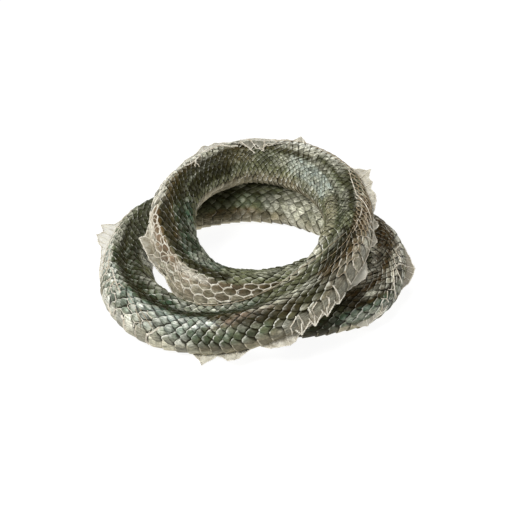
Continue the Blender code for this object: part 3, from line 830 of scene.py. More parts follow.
# painted light: the highlight on the free edge lies on the side towards the light, and glint and tip
# are painted highlights
lit_side = 0.15 + 0.85 * smooth((v + 0.5) / 0.9)
leaf_edge = np.maximum(side_edge, smooth((u - 0.34) / 0.17)) * lit_side
leaf_glint = np.exp(-((u - 0.15) / 0.26) ** 2 - ((v - 0.35) / 0.45) ** 2)
leaf_tip = np.exp(-((u - 0.40) / 0.12) ** 2 - ((v - 0.2) / 0.5) ** 2)
print("points on a scale that are mostly light edge:", int((leaf_edge > 0.5).sum()))


# %% Where the scales lie
# how far a scale strays, in steps and in rows, and how unevenly it is wide, raised and tilted
STRAY = (0.03, 0.05)
UNEVEN_WIDTH = 0.05
UNEVEN_LIFT = 0.16
TILT = 0.22
OUTER_ROW = 7.5


def scale_places(start, end):
    """Row and step of every scale between two places along the strand."""
    rows, centres = [], []
    for row in range(-ROWS_PER_SIDE, ROWS_PER_SIDE + 1):
        steps = np.arange(1, STEPS) + 0.5 * (row % 2)
        place = step_place(steps)
        steps = steps[(place >= start) & (place < end) & (place < LENGTH - 6)]
        rows.append(np.full(len(steps), row, float))
        centres.append(steps)
    return np.concatenate(rows), np.concatenate(centres)


def leaf_width(u, blunt):
    """Half width of leaves, in rows, at places along them. Past the tip it is nothing."""
    pointed = np.interp(u, LEAF_ALONG, POINTED, right=0.0)
    return pointed + blunt * (np.interp(u, LEAF_ALONG, BLUNT, right=0.0) - pointed)


def shape_scales(row, step):
    """Along, degrees and height at every point, and how far it is from the leaves that cover it."""
    jitter = rng.normal(0.0, 1.0, (len(row), 5)).T[..., None, None]
    netted = per_leaf(patch_masks(step_place(step), row_angle(step_place(step), row))["net"])
    calm = 1.0 - 0.7 * netted
    row = per_leaf(row)
    blunt = np.maximum(0.35 * smooth((np.abs(row) - 2) / 4), netted)
    half = leaf_width(u, blunt)
    along = step_place(per_leaf(step) + STRAY[0] * jitter[0] + u)
    own_row = row + STRAY[1] * jitter[2] + half * v * (1.0 + UNEVEN_WIDTH * jitter[1])
    edge_height = EDGE_HEIGHT + UNEVEN_LIFT * jitter[3] * calm
    height = ROOT_HEIGHT + (edge_height - ROOT_HEIGHT) * leaf_rise
    height = height - CROWN * calm * v ** 2 + TILT * jitter[4] * v * leaf_rise
    height = height * np.where(np.abs(row) > OUTER_ROW, 0.5, 1.0)
    # this distance from the covering leaves sets the painted shadow in the gaps
    uncovered = 1.0 - leaf_width(u + 0.5, blunt) - np.abs(half * v) + 4.0 * np.maximum(u - 0.02, 0.0)
    bare = (np.abs(row) > OUTER_ROW) * smooth(4.0 * v * np.sign(row))
    uncovered = np.minimum(np.maximum(uncovered, 0.7 * bare), 2.5 * (u + OVERLAP))
    return along, row_angle(along, own_row), height, uncovered


# %% How the scales look, and where they look special
# stretches of the strand, in millimetres, where scales have stronger painted glints, painted
# sparkling tips, fine lines (a thinner painted shadow and duller painted highlights), weaker fine
# lines and how strong they are, and painted light crescents on the inner rows
FLASHING = (500, 650)
SPARKLING = ((415, 545), (190, 330))
FINE_LINED = (680, 830)
PARTLY_LINED = ((215, 400, 0.4), (290, 400, 0.6))
CRESCENTS = (225, 345)
LEAST_SHINE = 0.38
TONE_LOW = 0.14
TONE_RANGE = 0.72
LIT_SIDE_TILT = 0.22
LINED_COVER = 0.17
FLANK_DEPTH = 0.09


def glints(centre):
    """Painted highlights: some scales get a glint on their lit side, and some a sparkle at their tip.
    """
    count = len(centre)
    flashing = (rng.random(count) < 0.5) * (0.4 + 0.6 * rng.random(count))
    flashing = flashing * (1.0 + 0.6 * band(centre, *FLASHING))
    sparkling = np.max([band(centre, *stretch) for stretch in SPARKLING], axis=0)
    sparkling = sparkling * (rng.random(count) < 0.4)
    return np.maximum(leaf_glint * per_leaf(flashing), 1.6 * leaf_tip * per_leaf(sparkling))


def lay_scales(name, start, end):
    """All scales between two places along the strand, as one piece."""
    row, step = scale_places(start, end)
    centre = step_place(step)
    count = len(row)
    tone = rng.random(count)
    along, degrees, height, uncovered = shape_scales(row, step)
    masks = patch_masks(along, degrees)
    numbers = leaf_numbers(masks, along, degrees, scale_walk)
    for kind in ("pale", "frost_and_gloss"):
        numbers[kind] = numbers[kind] * (0.3 + rng.random(count))[:, None]
    # painted highlights, laid into the milky finish: strongest on pale and frosted skin, none on dark
    # skin or under the net
    shine = with_rim(glints(centre), scale_walk, 0.0)
    shine = shine * (LEAST_SHINE + np.maximum(numbers["pale"], numbers["frost_and_gloss"]))
    shine = shine * (1 - 0.85 * numbers["dark_and_shade"]) * (1 - numbers["net"])
    numbers["milky_and_glint"] = np.maximum(numbers["milky_and_glint"], shine.clip(0, 1))
    # fine lines thin the painted shadow and dull the painted edge highlights; crescents brighten the
    # highlights on the inner rows
    fine_lines = np.maximum(band(centre, *FINE_LINED), sum(
        strength * band(centre, first, last) for first, last, strength in PARTLY_LINED))
    crescents = 0.6 * smooth(row - 5.5) * band(centre, *CRESCENTS)
    edge_bright = (0.7 + 0.6 * rng.random(count)) * (1 - 0.45 * fine_lines) + crescents
    # a random tone for each scale, plus painted light: the side of the leaf towards the light is
    # lighter
    tone_and_lit_side = TONE_LOW + TONE_RANGE * per_leaf(tone) + LIT_SIDE_TILT * v * (1 - masks["net"])
    numbers["tone"] = with_rim(tone_and_lit_side, scale_walk)
    numbers["cover"] = with_rim(uncovered + LINED_COVER * per_leaf(fine_lines), scale_walk)
    numbers["edge"] = with_rim(leaf_edge * per_leaf(edge_bright), scale_walk)
    # the rims, sunk into the skin, are painted in shade; the outer rows' rims only faintly
    depth = with_rim(np.zeros(along.shape), scale_walk, 1.0)
    numbers["depth"] = depth * np.where(np.abs(row) > OUTER_ROW - 1, FLANK_DEPTH, 1.0)[:, None]
    points = lay_leaves(along, degrees, height, scale_walk)
    faces = repeat_faces(scale_faces, points.shape[1], count)
    return new_piece(name, points, faces, back_finish, numbers)


lay_scales("back_scales_of_the_ring", 4.0, 345.0)
lay_scales("back_scales_of_the_front", 345.0, 670.0)
lay_scales("back_scales_of_the_rest", 670.0, LENGTH)

# %% [markdown]
# ## The belly plates
# Under the belly each step has one broad plate, from flank to flank, with a smooth free edge. Most
# hide underneath, but where the skin has rolled their edges catch the light, helped by a painted
# highlight along them and painted shadow where each is tucked under the one before. A bump on the
# inner skin would be too flat for that, so they are made as the scales are, only wide.

# %% Lay the belly plates
PLATE_ALONG = np.array([-0.60, -0.2, 0.15, 0.38, 0.50, 0.54])
PLATE_ACROSS = np.linspace(-1.0, 1.0, 25)
PLATE_OVERLAP = 13.0
PLATE_HEIGHT = 0.30
PRESSED_FLAT = (375, 485)


def lay_plates(name):
    """One plate to each step, across the belly from one edge of the back to the other."""
    plate_faces, walk = leaf_faces(len(PLATE_ALONG), len(PLATE_ACROSS))
    step = np.arange(1.0, STEPS)
    step = step[step_place(step) < LENGTH - 10]
    centre = step_place(step)
    count = len(step)
    u, v = [grid[None] for grid in np.meshgrid(PLATE_ALONG, PLATE_ACROSS, indexing="ij")]
    jitter = rng.normal(0.0, 1.0, (count, 3))
    rounded = np.where(u > 0, u * (1.0 - 0.2 * np.abs(v) ** 6), u)
    along = step_place(per_leaf(step + 0.03 * jitter[:, 0]) + rounded)
    outer, _, inner = back_limits(along)
    degrees = (inner + outer + 360.0) / 2 + v * ((outer + 360.0 - inner) / 2 + PLATE_OVERLAP)
    rise = np.interp(u, [-0.6, 0.15, 0.5, 0.54], [0.0, 0.66, 1.0, 0.96])
    height = PLATE_HEIGHT + 0.1 * per_leaf(jitter[:, 1])
    height = ROOT_HEIGHT + (height - ROOT_HEIGHT) * rise
    height = height * per_leaf(1.0 - 0.6 * band(centre, *PRESSED_FLAT)) - 0.55 * np.abs(v) ** 8
    masks = patch_masks(np.broadcast_to(per_leaf(centre), degrees.shape), degrees)
    numbers = leaf_numbers(masks, along, degrees, walk)
    # cover paints shadow where a plate is tucked under the one before, and edge paints a highlight on
    # its free edge
    looks = {"tone": per_leaf(rng.random(count)), "cover": 2.5 * (u + 0.46),
             "edge": smooth((u - 0.36) / 0.18)}
    for label, values in looks.items():
        numbers[label] = with_rim(np.broadcast_to(values, degrees.shape), walk)
    numbers["depth"] = with_rim(np.zeros(degrees.shape), walk, 1.0)
    points = lay_leaves(along, degrees, height, walk)
    faces = repeat_faces(plate_faces, points.shape[1], count)
    return new_piece(name, points, faces, belly_finish, numbers)


lay_plates("belly_plates")

# %% [markdown]
# ## The cream net
# Where the outermost film has dried off, only its thicker seams are left standing between the
# scales: a cream net over brown cells. Each thread runs from the tip of a scale to the tip of a
# neighbour in the next row, so the net is laid on the same lattice as the scales. Curves with a
# round bevel could make it, but a seam is flat: each thread is a thin strip with a raised middle
# that widens into the knots at its ends. Its finish is cream, stained where it is worn.

# %% Material of the net
def film_material(name, colour, worn_colour, roughness):
    """The material, then its tree, shader, place and colour, for what a film adds to them."""
    material, tree, shader = new_material(name)
    place = add_node(tree, "ShaderNodeTexCoord").outputs["Object"]
    grain = use_group(tree, grain_group, {"Place": place, "Fineness": 1200.0})
    shade = spread_noise(tree, grain.outputs["Mottle"], 0.6, -0.2)
    worn = maths(tree, "ADD", shade, attribute(tree, "worn"), clamp=True)
    stained = blend_colour(tree, worn, colour, worn_colour)
    tree.links.new(stained, shader.inputs["Base Color"])
    uneven_gloss = spread_noise(tree, grain.outputs["Height"], roughness - 0.1, roughness + 0.2)
    tree.links.new(uneven_gloss, shader.inputs["Roughness"])
    grain_bump(tree, shader, grain, 0.4, 0.0002)
    return material, tree, shader, place, stained


net_finish = film_material("cream_net_thread", from_screen(232, 227, 212),
                           from_screen(150, 132, 102), roughness=0.45)[0]

# %% Threads
THREAD_STEPS = np.linspace(0.0, 1.0, 6)
THREAD_SECTION = [(-1.0, -0.35), (-0.45, 0.16), (0.0, 0.3), (0.45, 0.16), (1.0, -0.35)]
THREAD_HALF = 0.42
THREAD_WAVE = 0.03
BARELY = 1e-9


def uneven_threads(count):
    """A thickness for each thread, as a share of the usual one."""
    return 0.8 + 0.4 * rng.random(count)[:, None]


def lay_threads(name, starts, ends, place_of, strength, worn, height, bow=0.0):
    """Strips from starts to ends, whose two numbers place_of turns into along and degrees."""
    count = len(starts)
    t = THREAD_STEPS[None]
    first = starts[:, :1] * (1 - t) + ends[:, :1] * t + bow * np.sin(np.pi * t)
    second = starts[:, 1:2] * (1 - t) + ends[:, 1:2] * t
    second = second + THREAD_WAVE * np.sin(2 * np.pi * t + 6 * rng.random(count)[:, None])
    along, degrees = place_of(first, second)
    base = skin(along, degrees, height)
    ahead = unit(np.gradient(base, axis=1) + BARELY)
    _, _, _, up, inside = strand_at(along)
    out = outward(up, inside, degrees)
    side = unit(np.cross(ahead, out) + BARELY)
    strength = strength[:, None]
    half = THREAD_HALF * strength * uneven_threads(count) * (0.7 + 0.85 * np.abs(2 * t - 1) ** 2.5)
    points = np.stack([base + (half * across)[..., None] * side + (strength * rise)[..., None] * out
                       for across, rise in THREAD_SECTION], 2)
    points_each = len(THREAD_STEPS) * len(THREAD_SECTION)
    faces = repeat_faces(grid_faces(len(THREAD_STEPS), len(THREAD_SECTION)), points_each, count)
    numbers = {"worn": np.repeat(worn, points_each)}
    return new_piece(name, points, faces, net_finish, numbers, SHARP_ON_ROUND)


# %% Where the threads of the net run
NET_HEIGHT = 0.30
NET_BOW = 0.03


def knot_shift(steps, rows):
    """The same small shift for the same knot, whichever thread asks."""
    key = steps * 12.9898 + rows * 78.233
    first = np.sin(key) * 43758.5453
    second = np.sin(key * 1.7) * 24634.6345
    third = np.sin(key * 2.3) * 13758.143
    return 0.16 * ((first % 1.0) - 0.5), 0.20 * ((second % 1.0) - 0.5), 0.22 + 0.12 * (third % 1.0)


def knot(steps, row, side):
    """A knot at a scale's tip, as step and row. It is split in two across its row."""
    ahead, aside, split = knot_shift(steps, row)
    return np.stack([steps + ahead, row + aside + side * split], -1)


def net_links():
    """Start and end of every thread, as step and row."""
    starts, ends = [], []
    for row in range(-ROWS_PER_SIDE, ROWS_PER_SIDE + 1):
        tips = np.arange(1, STEPS) + 0.5 * (1 + row % 2)
        starts.append(knot(tips, row, -1))
        ends.append(knot(tips, row, 1))
        for side in (-1, 1):
            if abs(row + side) <= ROWS_PER_SIDE:
                starts.append(knot(tips, row, side))
                ends.append(knot(tips - 0.5, row + side, -side))
    return np.concatenate(starts), np.concatenate(ends)


def place_of_row(step, row):
    along = step_place(step)
    return along, row_angle(along, row)


starts, ends = net_links()
middle_at, middle_angle = place_of_row(*((starts + ends) / 2).T)
thread_masks = patch_masks(middle_at, middle_angle)
standing = np.maximum(thread_masks["net"], thread_masks["veins"])
kept = (standing > 0.3 + 0.5 * rng.random(len(starts))) & (middle_at < LENGTH - 20)
starts, ends, middle_at = starts[kept], ends[kept], middle_at[kept]
in_net = thread_masks["net"][kept]
in_veins = thread_masks["veins"][kept] * (1 - in_net)
worn_front = 0.6 * smooth((480 - middle_at) / 40)
lay_threads("cream_net", starts, ends, place_of_row, strength=0.45 + 0.5 * in_net + 0.2 * in_veins,
            worn=in_veins * (worn_front + 0.4 * rng.random(len(starts))),
            height=NET_HEIGHT, bow=NET_BOW)

# %% [markdown]
# ## Single seams
# In some places one strong seam runs across the scales, or round a few cells that have grown
# together. They don't follow the lattice, so each is a size and a few points along the seam:
# millimetres along the strand, and degrees. The points were picked by eye in the photo, and most
# were turned into these numbers by a separate script. The net's threads are laid along them.

# %% Where the seams run
SEAMS = [
    # ring, front left, round the big cells
    (1.2, [(164, -47), (162, -57), (156.5, -60), (150.5, -58), (146, -62), (144, -75)]),
    (0.9, [(154, -57), (155, -49), (153, -41), (149.5, -37), (145.5, -37)]),
    (0.9, [(147.5, -55), (148.5, -42), (146, -36), (142.5, -36), (140.5, -44)]),
    (0.9, [(141, -43), (140.5, -36), (138, -32), (136, -35), (133, -36)]),
    (1.0, [(144.5, -79), (142, -75), (139, -67), (137.5, -57), (138, -46), (140.5, -44)]),
    (1.2, [(137.5, -92), (135, -85), (132.5, -71), (132, -60), (130, -49), (128, -33)]),
    (1.2, [(133, -36), (132, -44), (128.5, -50), (125.5, -58), (122.5, -54)]),
    (1.2, [(128, -33), (122.5, -39), (119, -34), (115, -35), (111.5, -32), (108.5, -29)]),
    (1.0, [(122.5, -39), (122, -49), (117.5, -61), (115, -65), (113, -76), (111, -83)]),
    (1.0, [(117.5, -61), (119, -67), (120.5, -78), (120, -87)]),
    (1.0, [(131.5, -101), (126, -79), (120, -86), (113.5, -94)]),
    (0.9, [(108, -111), (103, -104), (95.5, -91), (89, -80)]),
    # ring, back left and top
    (1.3, [(198.5, -22), (201.5, -17), (205, -16), (208, -17), (214, -22)]),
    (1.2, [(207.5, -15), (206, -8), (198.5, 18)]), (0.9, [(207, -10), (202, 17), (200.5, 25)]),
    (1.3, [(218, -30), (220.5, -23), (228.5, -26), (231.5, -25), (235, 2), (240, 6), (243, -1)]),
    (1.3, [(243, 1), (245, 15), (248.5, 28), (252, 39)]),
    (1.2, [(247, -14), (249.5, -2), (251.5, 15), (253, 26)]),
    (1.5, [(258.5, -14), (258.5, 0), (259, 18), (259, 34)]), (1.0, [(253, 26), (259, 27)]),
    (1.2, [(262.5, -14), (265, -10), (266.5, -1), (265, 11), (262, 17), (259.5, 12)]),
    (1.0, [(266.5, -1), (269, -11), (271, -12)]), (0.9, [(272, -14), (275, -9), (276.5, 8)]),
    # ring, right
    (1.0, [(325.5, -23), (334.5, -18), (341, -18), (351, -19), (357, -37), (363, -50),
           (366.5, -61), (369, -71), (368, -80)]),
    (1.3, [(389, -55), (385.5, -70), (381, -88)]), (1.3, [(396, -64), (392, -78), (389, -92)]),
    (1.1, [(379, -52), (376, -66), (372, -86)]), (1.0, [(371, -56), (368, -70), (365, -84)]),
    (1.1, [(358, -82), (365, -84), (372, -86), (381, -88), (389, -92), (396, -94), (402, -96),
           (411, -95), (421, -100)]),
    (1.0, [(385, -90), (383, -100)]), (1.0, [(392, -93), (390, -104)]),
    (0.9, [(385, -23), (381, -25), (373.5, -28), (366.5, -29)]),
    (0.8, [(371, -42), (375, -50), (377.5, -55)]), (0.8, [(395.5, -24), (387, -27), (381, -25)]),
    (0.9, [(407, -65), (411, -57), (414, -57), (416, -66), (414.5, -77), (411, -95)]),
    (0.9, [(404, -72), (403.5, -83), (402, -96)]),
    # front strand
    (1.2, [(424.5, -73), (422.5, -90), (421, -100)]),
    (1.4, [(435, -59), (434.5, -74), (433.5, -94), (434, -107)]),
    (1.6, [(441, -69), (440, -78), (440.5, -90), (442, -101), (444, -116)]),
    (1.2, [(449, -98), (448, -110), (446.5, -122), (444, -116)]),
    (1.2, [(446, -69), (448.5, -76), (449.5, -79), (449, -100)]),
    (1.1, [(450.5, -69), (450.5, -84), (450, -109), (452, -126)]),
    (1.3, [(456, -75), (455.5, -95), (455.5, -117), (454, -128), (452, -126)]),
    (1.2, [(457, -77), (459, -87), (461.5, -97), (461.5, -119), (462, -127)]),
    (0.5, [(399, -23), (412.5, -28), (428, -26), (437, -28)]),
    (0.5, [(398, -10), (408.5, 0), (417, 12), (426, 32), (436, 40), (453.5, 39), (462, 17),
           (476, 13), (490, 9), (509, 12), (518, 18)]),
    (0.5, [(390.5, -20), (404, -20), (417.5, -14), (430, -5)]),
    (2.0, [(539, -121), (540, -113), (539.5, -93), (537, -83), (535.5, -75), (534, -66)]),
    (1.5, [(545, -92), (545, -109)]), (2.0, [(554, -80), (552, -84), (551, -94), (551, -105)]),
    (1.4, [(559.5, -76), (561, -94)]), (1.6, [(568, -84), (565.5, -93), (563.5, -99)]),
    (0.9, [(557, -36), (553, -40), (550.5, -44)]),
    (0.6, [(548, -52), (546, -59), (543.5, -70), (542.5, -84)]),
    (0.6, [(546, -47), (542.5, -56), (538.5, -69), (537, -75)]),
    # left loop
    (1.4, [(606.5, -43), (600, -45), (593.5, -47), (585, -38), (574.5, -40), (561.5, -45)]),
    (1.0, [(596.5, -45), (591, -52), (587.5, -61)]), (0.9, [(573.5, -41), (574, -54), (572, -67)]),
    (0.9, [(579, -41), (580, -52), (582, -75)]), (0.8, [(568.5, -43), (569, -36), (562, -33)]),
    # right loop
    (1.2, [(870.5, -29), (866, -36), (862, -46)]),
    (1.1, [(870.5, -29), (874.5, -32), (875.5, -44), (879, -49)]),
    (0.9, [(875, -32), (879.5, -25), (884.5, -33), (885.5, -39)]),
    (1.4, [(885.5, -39), (881.5, -45), (878.5, -57), (876, -70), (873.5, -82)]),
    (1.1, [(885.5, -39), (890.5, -35), (893, -32)]),
    (1.3, [(890.5, -35), (894.5, -45), (898.5, -58), (900, -68), (900.5, -92)]),
    (1.1, [(888, -40), (889.5, -54), (890, -79)]), (1.1, [(905, -55), (900, -69)]),
    (1.0, [(905.5, -58), (908, -73), (907, -84)]), (1.0, [(911.5, -63), (908, -73)]),
    (0.9, [(911.5, -76), (912, -89), (912, -106)]),
]

# %% Lay the seams
SEAM_PIECE = 4.0
TOP_FILM = (238, 278)
OVER_FILM = 1.9
OVER_SKIN = 0.45


def cut_seam(line):
    """A seam in short pieces: where each starts and ends."""
    points = [line[:1]]
    for start, end in zip(np.array(line[:-1]), np.array(line[1:])):
        parts = max(1, round(np.hypot(*((end - start) * (1.0, MM_PER_DEGREE))) / SEAM_PIECE))
        points.append(start + np.arange(1, parts + 1)[:, None] / parts * (end - start))
    points = np.concatenate(points)
    return points[:-1], points[1:]


cut_seams = [(size, *cut_seam(line)) for size, line in SEAMS]
seam_starts = np.concatenate([starts for _, starts, _ in cut_seams])
seam_ends = np.concatenate([ends for _, _, ends in cut_seams])
seam_size = np.concatenate([np.full(len(starts), size) for size, starts, _ in cut_seams])
on_film = (seam_starts[:, 0] > TOP_FILM[0]) & (seam_starts[:, 0] < TOP_FILM[1])
lay_threads("single_seams", seam_starts, seam_ends, lambda along, degrees: (along, degrees),
            strength=0.8 * seam_size,
            worn=0.3 * rng.random(len(seam_size)) + (1.1 - seam_size).clip(0, 0.6),
            height=np.where(on_film, OVER_FILM, OVER_SKIN)[:, None])

# %% [markdown]
# ## Torn films
# The skin has torn along its outer side, and thin films stand off it with ragged, pointed edges.
# A cloth simulation could curl them, but their outlines matter more than their folds, so each film
# is given by stations: where it is rooted on the skin, and where its edge is and how high over the
# skin. The sheet between them is thin, closed and see-through.

# %% Where the films are
def upright(*stations):
    """Stations of a film that stands straight up: place, angle and height of its edge."""
    return [(at, degrees, 0, degrees, rise) for at, degrees, rise in stations]


# each station: place and angle of the root, how far the edge is shifted along, its angle, its height
FILMS = {
    "left_loop": upright(
        (588, -84, 0.0), (600, -81, 1.6), (614, -76, 2.0), (621, -72, 3.4), (625, -69, 7.2),
        (629, -67, 9.8), (633, -65, 6.6), (638, -62, 9.6), (642, -59, 2.6), (649, -55, 0.0)),
    "ring_left": [
        (122, -100, 0, -98, 0.0), (127, -100, 0, -96, 1.6), (131, -99, 0, -94, 2.8),
        (135, -97, 0, -92, 4.0), (138, -96, 0, -91, 4.2), (141, -95, 0, -90, 4.4),
        (143, -94, 1, -89, 4.8), (145.5, -92, 2, -87, 6.6), (147.5, -90, 1, -85, 2.8),
        (152, -85, 0, -82, 0.8), (155, -80, 0, -78, 0.0)],
    "ring_low_left": [
        (102, -114, 0, -112, 0.0), (107, -114, 0, -111, 1.4), (112, -115, 0, -110, 2.4),
        (117, -113, 0, -108, 2.0), (122, -110, 0, -106, 0.6), (124, -108, 0, -104, 0.0)],
    "ring_back_left": upright(
        (197, -45, 0.0), (206, -42, 0.9), (212, -39, 0.6), (216, -37, 1.6), (221, -36, 3.6),
        (225, -35, 2.0), (229, -34, 2.6), (238, -31, 0.0)),
    "ring_back_spike": [
        (274, -31, 0, -31, 0.0), (278, -31, 1, -31, 3.4), (283, -31, 0, -31, 0.0)],
    "ring_right": upright(
        (312, -49, 0.0), (319, -54, 2.2), (326, -58, 9.6), (329, -61, 5.6), (333, -64, 6.8),
        (336, -66, 3.8), (341, -70, 5.2), (347, -75, 3.2), (354, -81, 0.0)),
    "ring_right_tips": upright(
        (357, -84, 0.0), (364, -87, 3.4), (369, -90, 0.4), (377, -98, 3.4), (383, -101, 0.0)),
    "front_pale_lobe": upright(
        (395, -107, 0.0), (399, -109, 2.2), (403, -110, 4.0), (407, -113, 4.6), (412, -115, 3.2),
        (417, -117, 1.4), (422, -119, 0.0)),
    "front_hanging_tips": [
        (428, -92, 0, -102, 0.4), (433, -94, 2, -106, 2.0), (437, -94, 0, -100, 0.6),
        (442, -96, 2, -108, 3.2), (445, -97, 0, -102, 0.8), (449, -98, 2, -114, 3.4),
        (452, -100, 0, -106, 0.8), (456, -102, 2, -124, 3.2), (460, -104, 0, -112, 0.4)],
    "front_tan_flap": [
        (457, -138, 0, -138, 0.0), (462, -138, 0, -134, 4.8), (465, -139, 0, -134, 5.8),
        (470, -140, 0, -136, 4.4), (474, -141, 0, -138, 3.4), (479, -142, 0, -142, 0.0)],
    "ground_tips": [
        (485, -150, 0, -144, 0.0), (491, -150, 0, -134, 4.4), (493, -150, 0, -130, 5.6),
        (497, -150, 0, -132, 5.4), (501, -150, 0, -138, 2.4), (505, -150, 0, -144, 1.0),
        (511, -150, 0, -127, 7.4), (514, -150, 0, -138, 3.4), (518, -150, 0, -146, 0.0)],
    "lower_turn_back": upright(
        (715, -84, 0.0), (721, -86, 3.4), (727, -87, 2.0), (732, -89, 4.0), (739, -90, 0.0)),
    "right_loop": [
        (854, -66, 0, -71, 0.0), (860, -70, 0, -76, 1.2), (866, -76, 0, -84, 2.8),
        (872, -82, 0, -90, 5.2), (875, -85, 0, -93, 4.6), (880, -90, 0, -99, 3.6),
        (888, -92, 0, -103, 0.2)],
    "right_loop_low": [
        (908, -88, 0, -92, 0.2), (913, -92, 0, -100, 1.8), (917, -96, 0, -106, 0.8),
        (921, -100, 0, -116, 2.2), (926, -104, 0, -112, 0.2)],
    "ring_top_ridge": upright(
        (238, -36, 0.0), (244, -36, 0.8), (252, -35, 1.9), (258, -34, 1.8), (263, -33, 1.7),
        (265, -33, 1.0), (270, -32, 1.1), (275, -31, 0.0)),
    "ring_top_film": [
        (238, -34, 0, -10, 0.6), (243, -34, 0, 6, 1.2), (248, -33, 1, 28, 1.5),
        (252, -33, 0, 12, 1.2), (257, -32, 1, 32, 1.6), (261, -31, 0, 8, 1.3),
        (267, -30, 1, 4, 1.0), (274, -30, 0, -12, 0.5)],
}
# how solid, how worn and how full of fine seams each film looks, and how thick its rim is
FILM_LOOKS = {
    "left_loop": (0.4, -0.1, 0.35, 0.85), "ring_left": (0.75, 0.5, 0.0, 1.5),
    "ring_low_left": (0.9, 0.5, 0.0, 1.2), "ring_back_left": (0.5, 0.1, 0.5, 0.85),
    "ring_back_spike": (0.8, 0.2, 0.5, 0.85), "ring_right": (0.7, 0.4, 0.4, 0.85),
    "ring_right_tips": (0.7, 0.35, 0.4, 0.85), "front_pale_lobe": (1.0, -0.55, 0.0, 0.85),
    "front_hanging_tips": (0.25, 1.0, 0.0, 1.3), "front_tan_flap": (0.95, 0.4, 0.3, 0.85),
    "ground_tips": (0.9, -0.15, 0.3, 0.85), "lower_turn_back": (0.8, 0.2, 0.5, 0.85),
    "right_loop": (0.75, 1.0, 0.2, 0.85), "right_loop_low": (0.6, 0.1, 0.3, 0.85),
    "ring_top_ridge": (0.6, 0.4, 0.2, 0.5), "ring_top_film": (0.16, 0.0, 0.0, 0.5),
}
# where ribs cross a film, in millimetres along. The films not named have one at each inner station
RIBS_AT = {
    "ring_left": (131, 138, 147.5), "ring_low_left": (), "front_pale_lobe": (),
    "ring_top_ridge": (), "ring_top_film": (),
}
FILM_STEPS = 7
FILM_THICKNESS = 0.14
FILM_ROOT = -0.6
RAG = 0.35


def film_grid(stations, along_step=0.9):
    """Along, degrees and height on a film: rows from its first to its last station, columns up."""
    table = np.array(stations, float)
    at = np.unique(np.r_[table[:, 0], np.arange(table[0, 0], table[-1, 0], along_step)])
    root, shift, tip, rise = [np.interp(at, table[:, 0], column)[:, None] for column in table.T[1:]]
    standing = smooth(rise / 1.5)
    rise = rise + RAG * standing * (rng.random(len(at))[:, None] - 0.6)
    share = np.linspace(0.0, 1.0, FILM_STEPS)
    at_row = at[:, None]
    degrees = root + (tip - root) * share + 1.6 * standing * share * np.sin(at_row * 0.9 + 2.5 * share)
    return np.stack([at_row + shift * share, degrees, FILM_ROOT + (rise - FILM_ROOT) * share], -1)


def closed_sheet(rows, columns):
    """Faces of a thin closed sheet: its front grid, its back grid, and the strip between."""
    front = grid_faces(rows, columns)
    back = front[:, ::-1] + rows * columns
    index = np.arange(rows * columns).reshape(rows, columns)
    walk = np.r_[index[0], index[1:, -1], index[-1, -2::-1], index[-2::-1, 0]]
    strip = np.stack([walk[:-1], walk[:-1] + rows * columns, walk[1:] + rows * columns, walk[1:]], -1)
    return np.vstack([front, back, strip])


# %% [markdown]
# ## The finish of the films
# A torn film is the same dry keratin as the net, but so thin that one sees through it, except
# along the fine seams left by the scales it covered. Glass would bend the light too much: here the
# material's alpha thins it, and a Voronoi texture, whose cells have thin walls, draws the seams.

# %% Material of the films
torn_finish, tree, shader, place, stained = film_material(
    "torn_film", from_screen(226, 223, 208), from_screen(152, 143, 122), roughness=0.4)
cells = add_node(tree, "ShaderNodeTexVoronoi", {"Vector": place, "Scale": 230.0},
                 feature="DISTANCE_TO_EDGE")
fine_seams = remap(tree, cells.outputs["Distance"], 0.03, 0.12, 1.0, 0.0)
fine_seams = maths(tree, "MULTIPLY", fine_seams, attribute(tree, "cells"))
seamed = blend_colour(tree, maths(tree, "MULTIPLY", fine_seams, 0.7), stained,
                      from_screen(238, 232, 212))
tree.links.new(seamed, shader.inputs["Base Color"])
solid = maths(tree, "ADD", attribute(tree, "solid"), maths(tree, "MULTIPLY", fine_seams, 0.4),
              clamp=True)
tree.links.new(solid, shader.inputs["Alpha"])


# %% Sheets of the films, and where their rims and ribs run
def sheet_of(grid):
    """Front and back points of a film, half its thickness to each side of its middle."""
    middle = skin(*np.moveaxis(grid, -1, 0))
    out = unit(np.cross(np.gradient(middle, axis=0), np.gradient(middle, axis=1)))
    return np.concatenate([middle + 0.5 * FILM_THICKNESS * out, middle - 0.5 * FILM_THICKNESS * out])


def look_of(grid, solid, worn, seamed):
    """The numbers for a film's material: it is a little more solid at its rim and its root."""
    share = np.linspace(0.0, 1.0, FILM_STEPS)
    solid = solid + 0.2 * smooth((share - 0.8) / 0.2) + 0.2 * smooth((0.3 - share) / 0.3)
    count = 2 * len(grid)
    return np.stack([np.tile(solid, count), np.full(count * FILM_STEPS, worn),
                     np.full(count * FILM_STEPS, seamed)])


points, faces, looks, cords, cord_sizes, point_count = [], [], [], [], [], 0
for film_name, stations in FILMS.items():
    *look, rim_size = FILM_LOOKS[film_name]
    grid = film_grid(stations)
    points.append(sheet_of(grid).reshape(-1, 3))
    faces.append(closed_sheet(len(grid), FILM_STEPS) + point_count)
    point_count += len(points[-1])
    looks.append(look_of(grid, *look))
    cords += list(zip(grid[:-1, -1], grid[1:, -1]))
    for rib in RIBS_AT.get(film_name, [station[0] for station in stations[1:-1]]):
        row = np.argmin(np.abs(grid[:, 0, 0] - rib))
        cords.append((grid[row, 0], grid[row, -1]))
    cord_sizes += [rim_size] * (len(cords) - len(cord_sizes))
solid_look, worn_look, cells_look = np.concatenate(looks, 1)
new_piece("torn_films", np.concatenate(points), np.vstack(faces), torn_finish,
          {"solid": solid_look.clip(0, 1), "worn": worn_look, "cells": cells_look},
          SHARP_ON_ROUND)

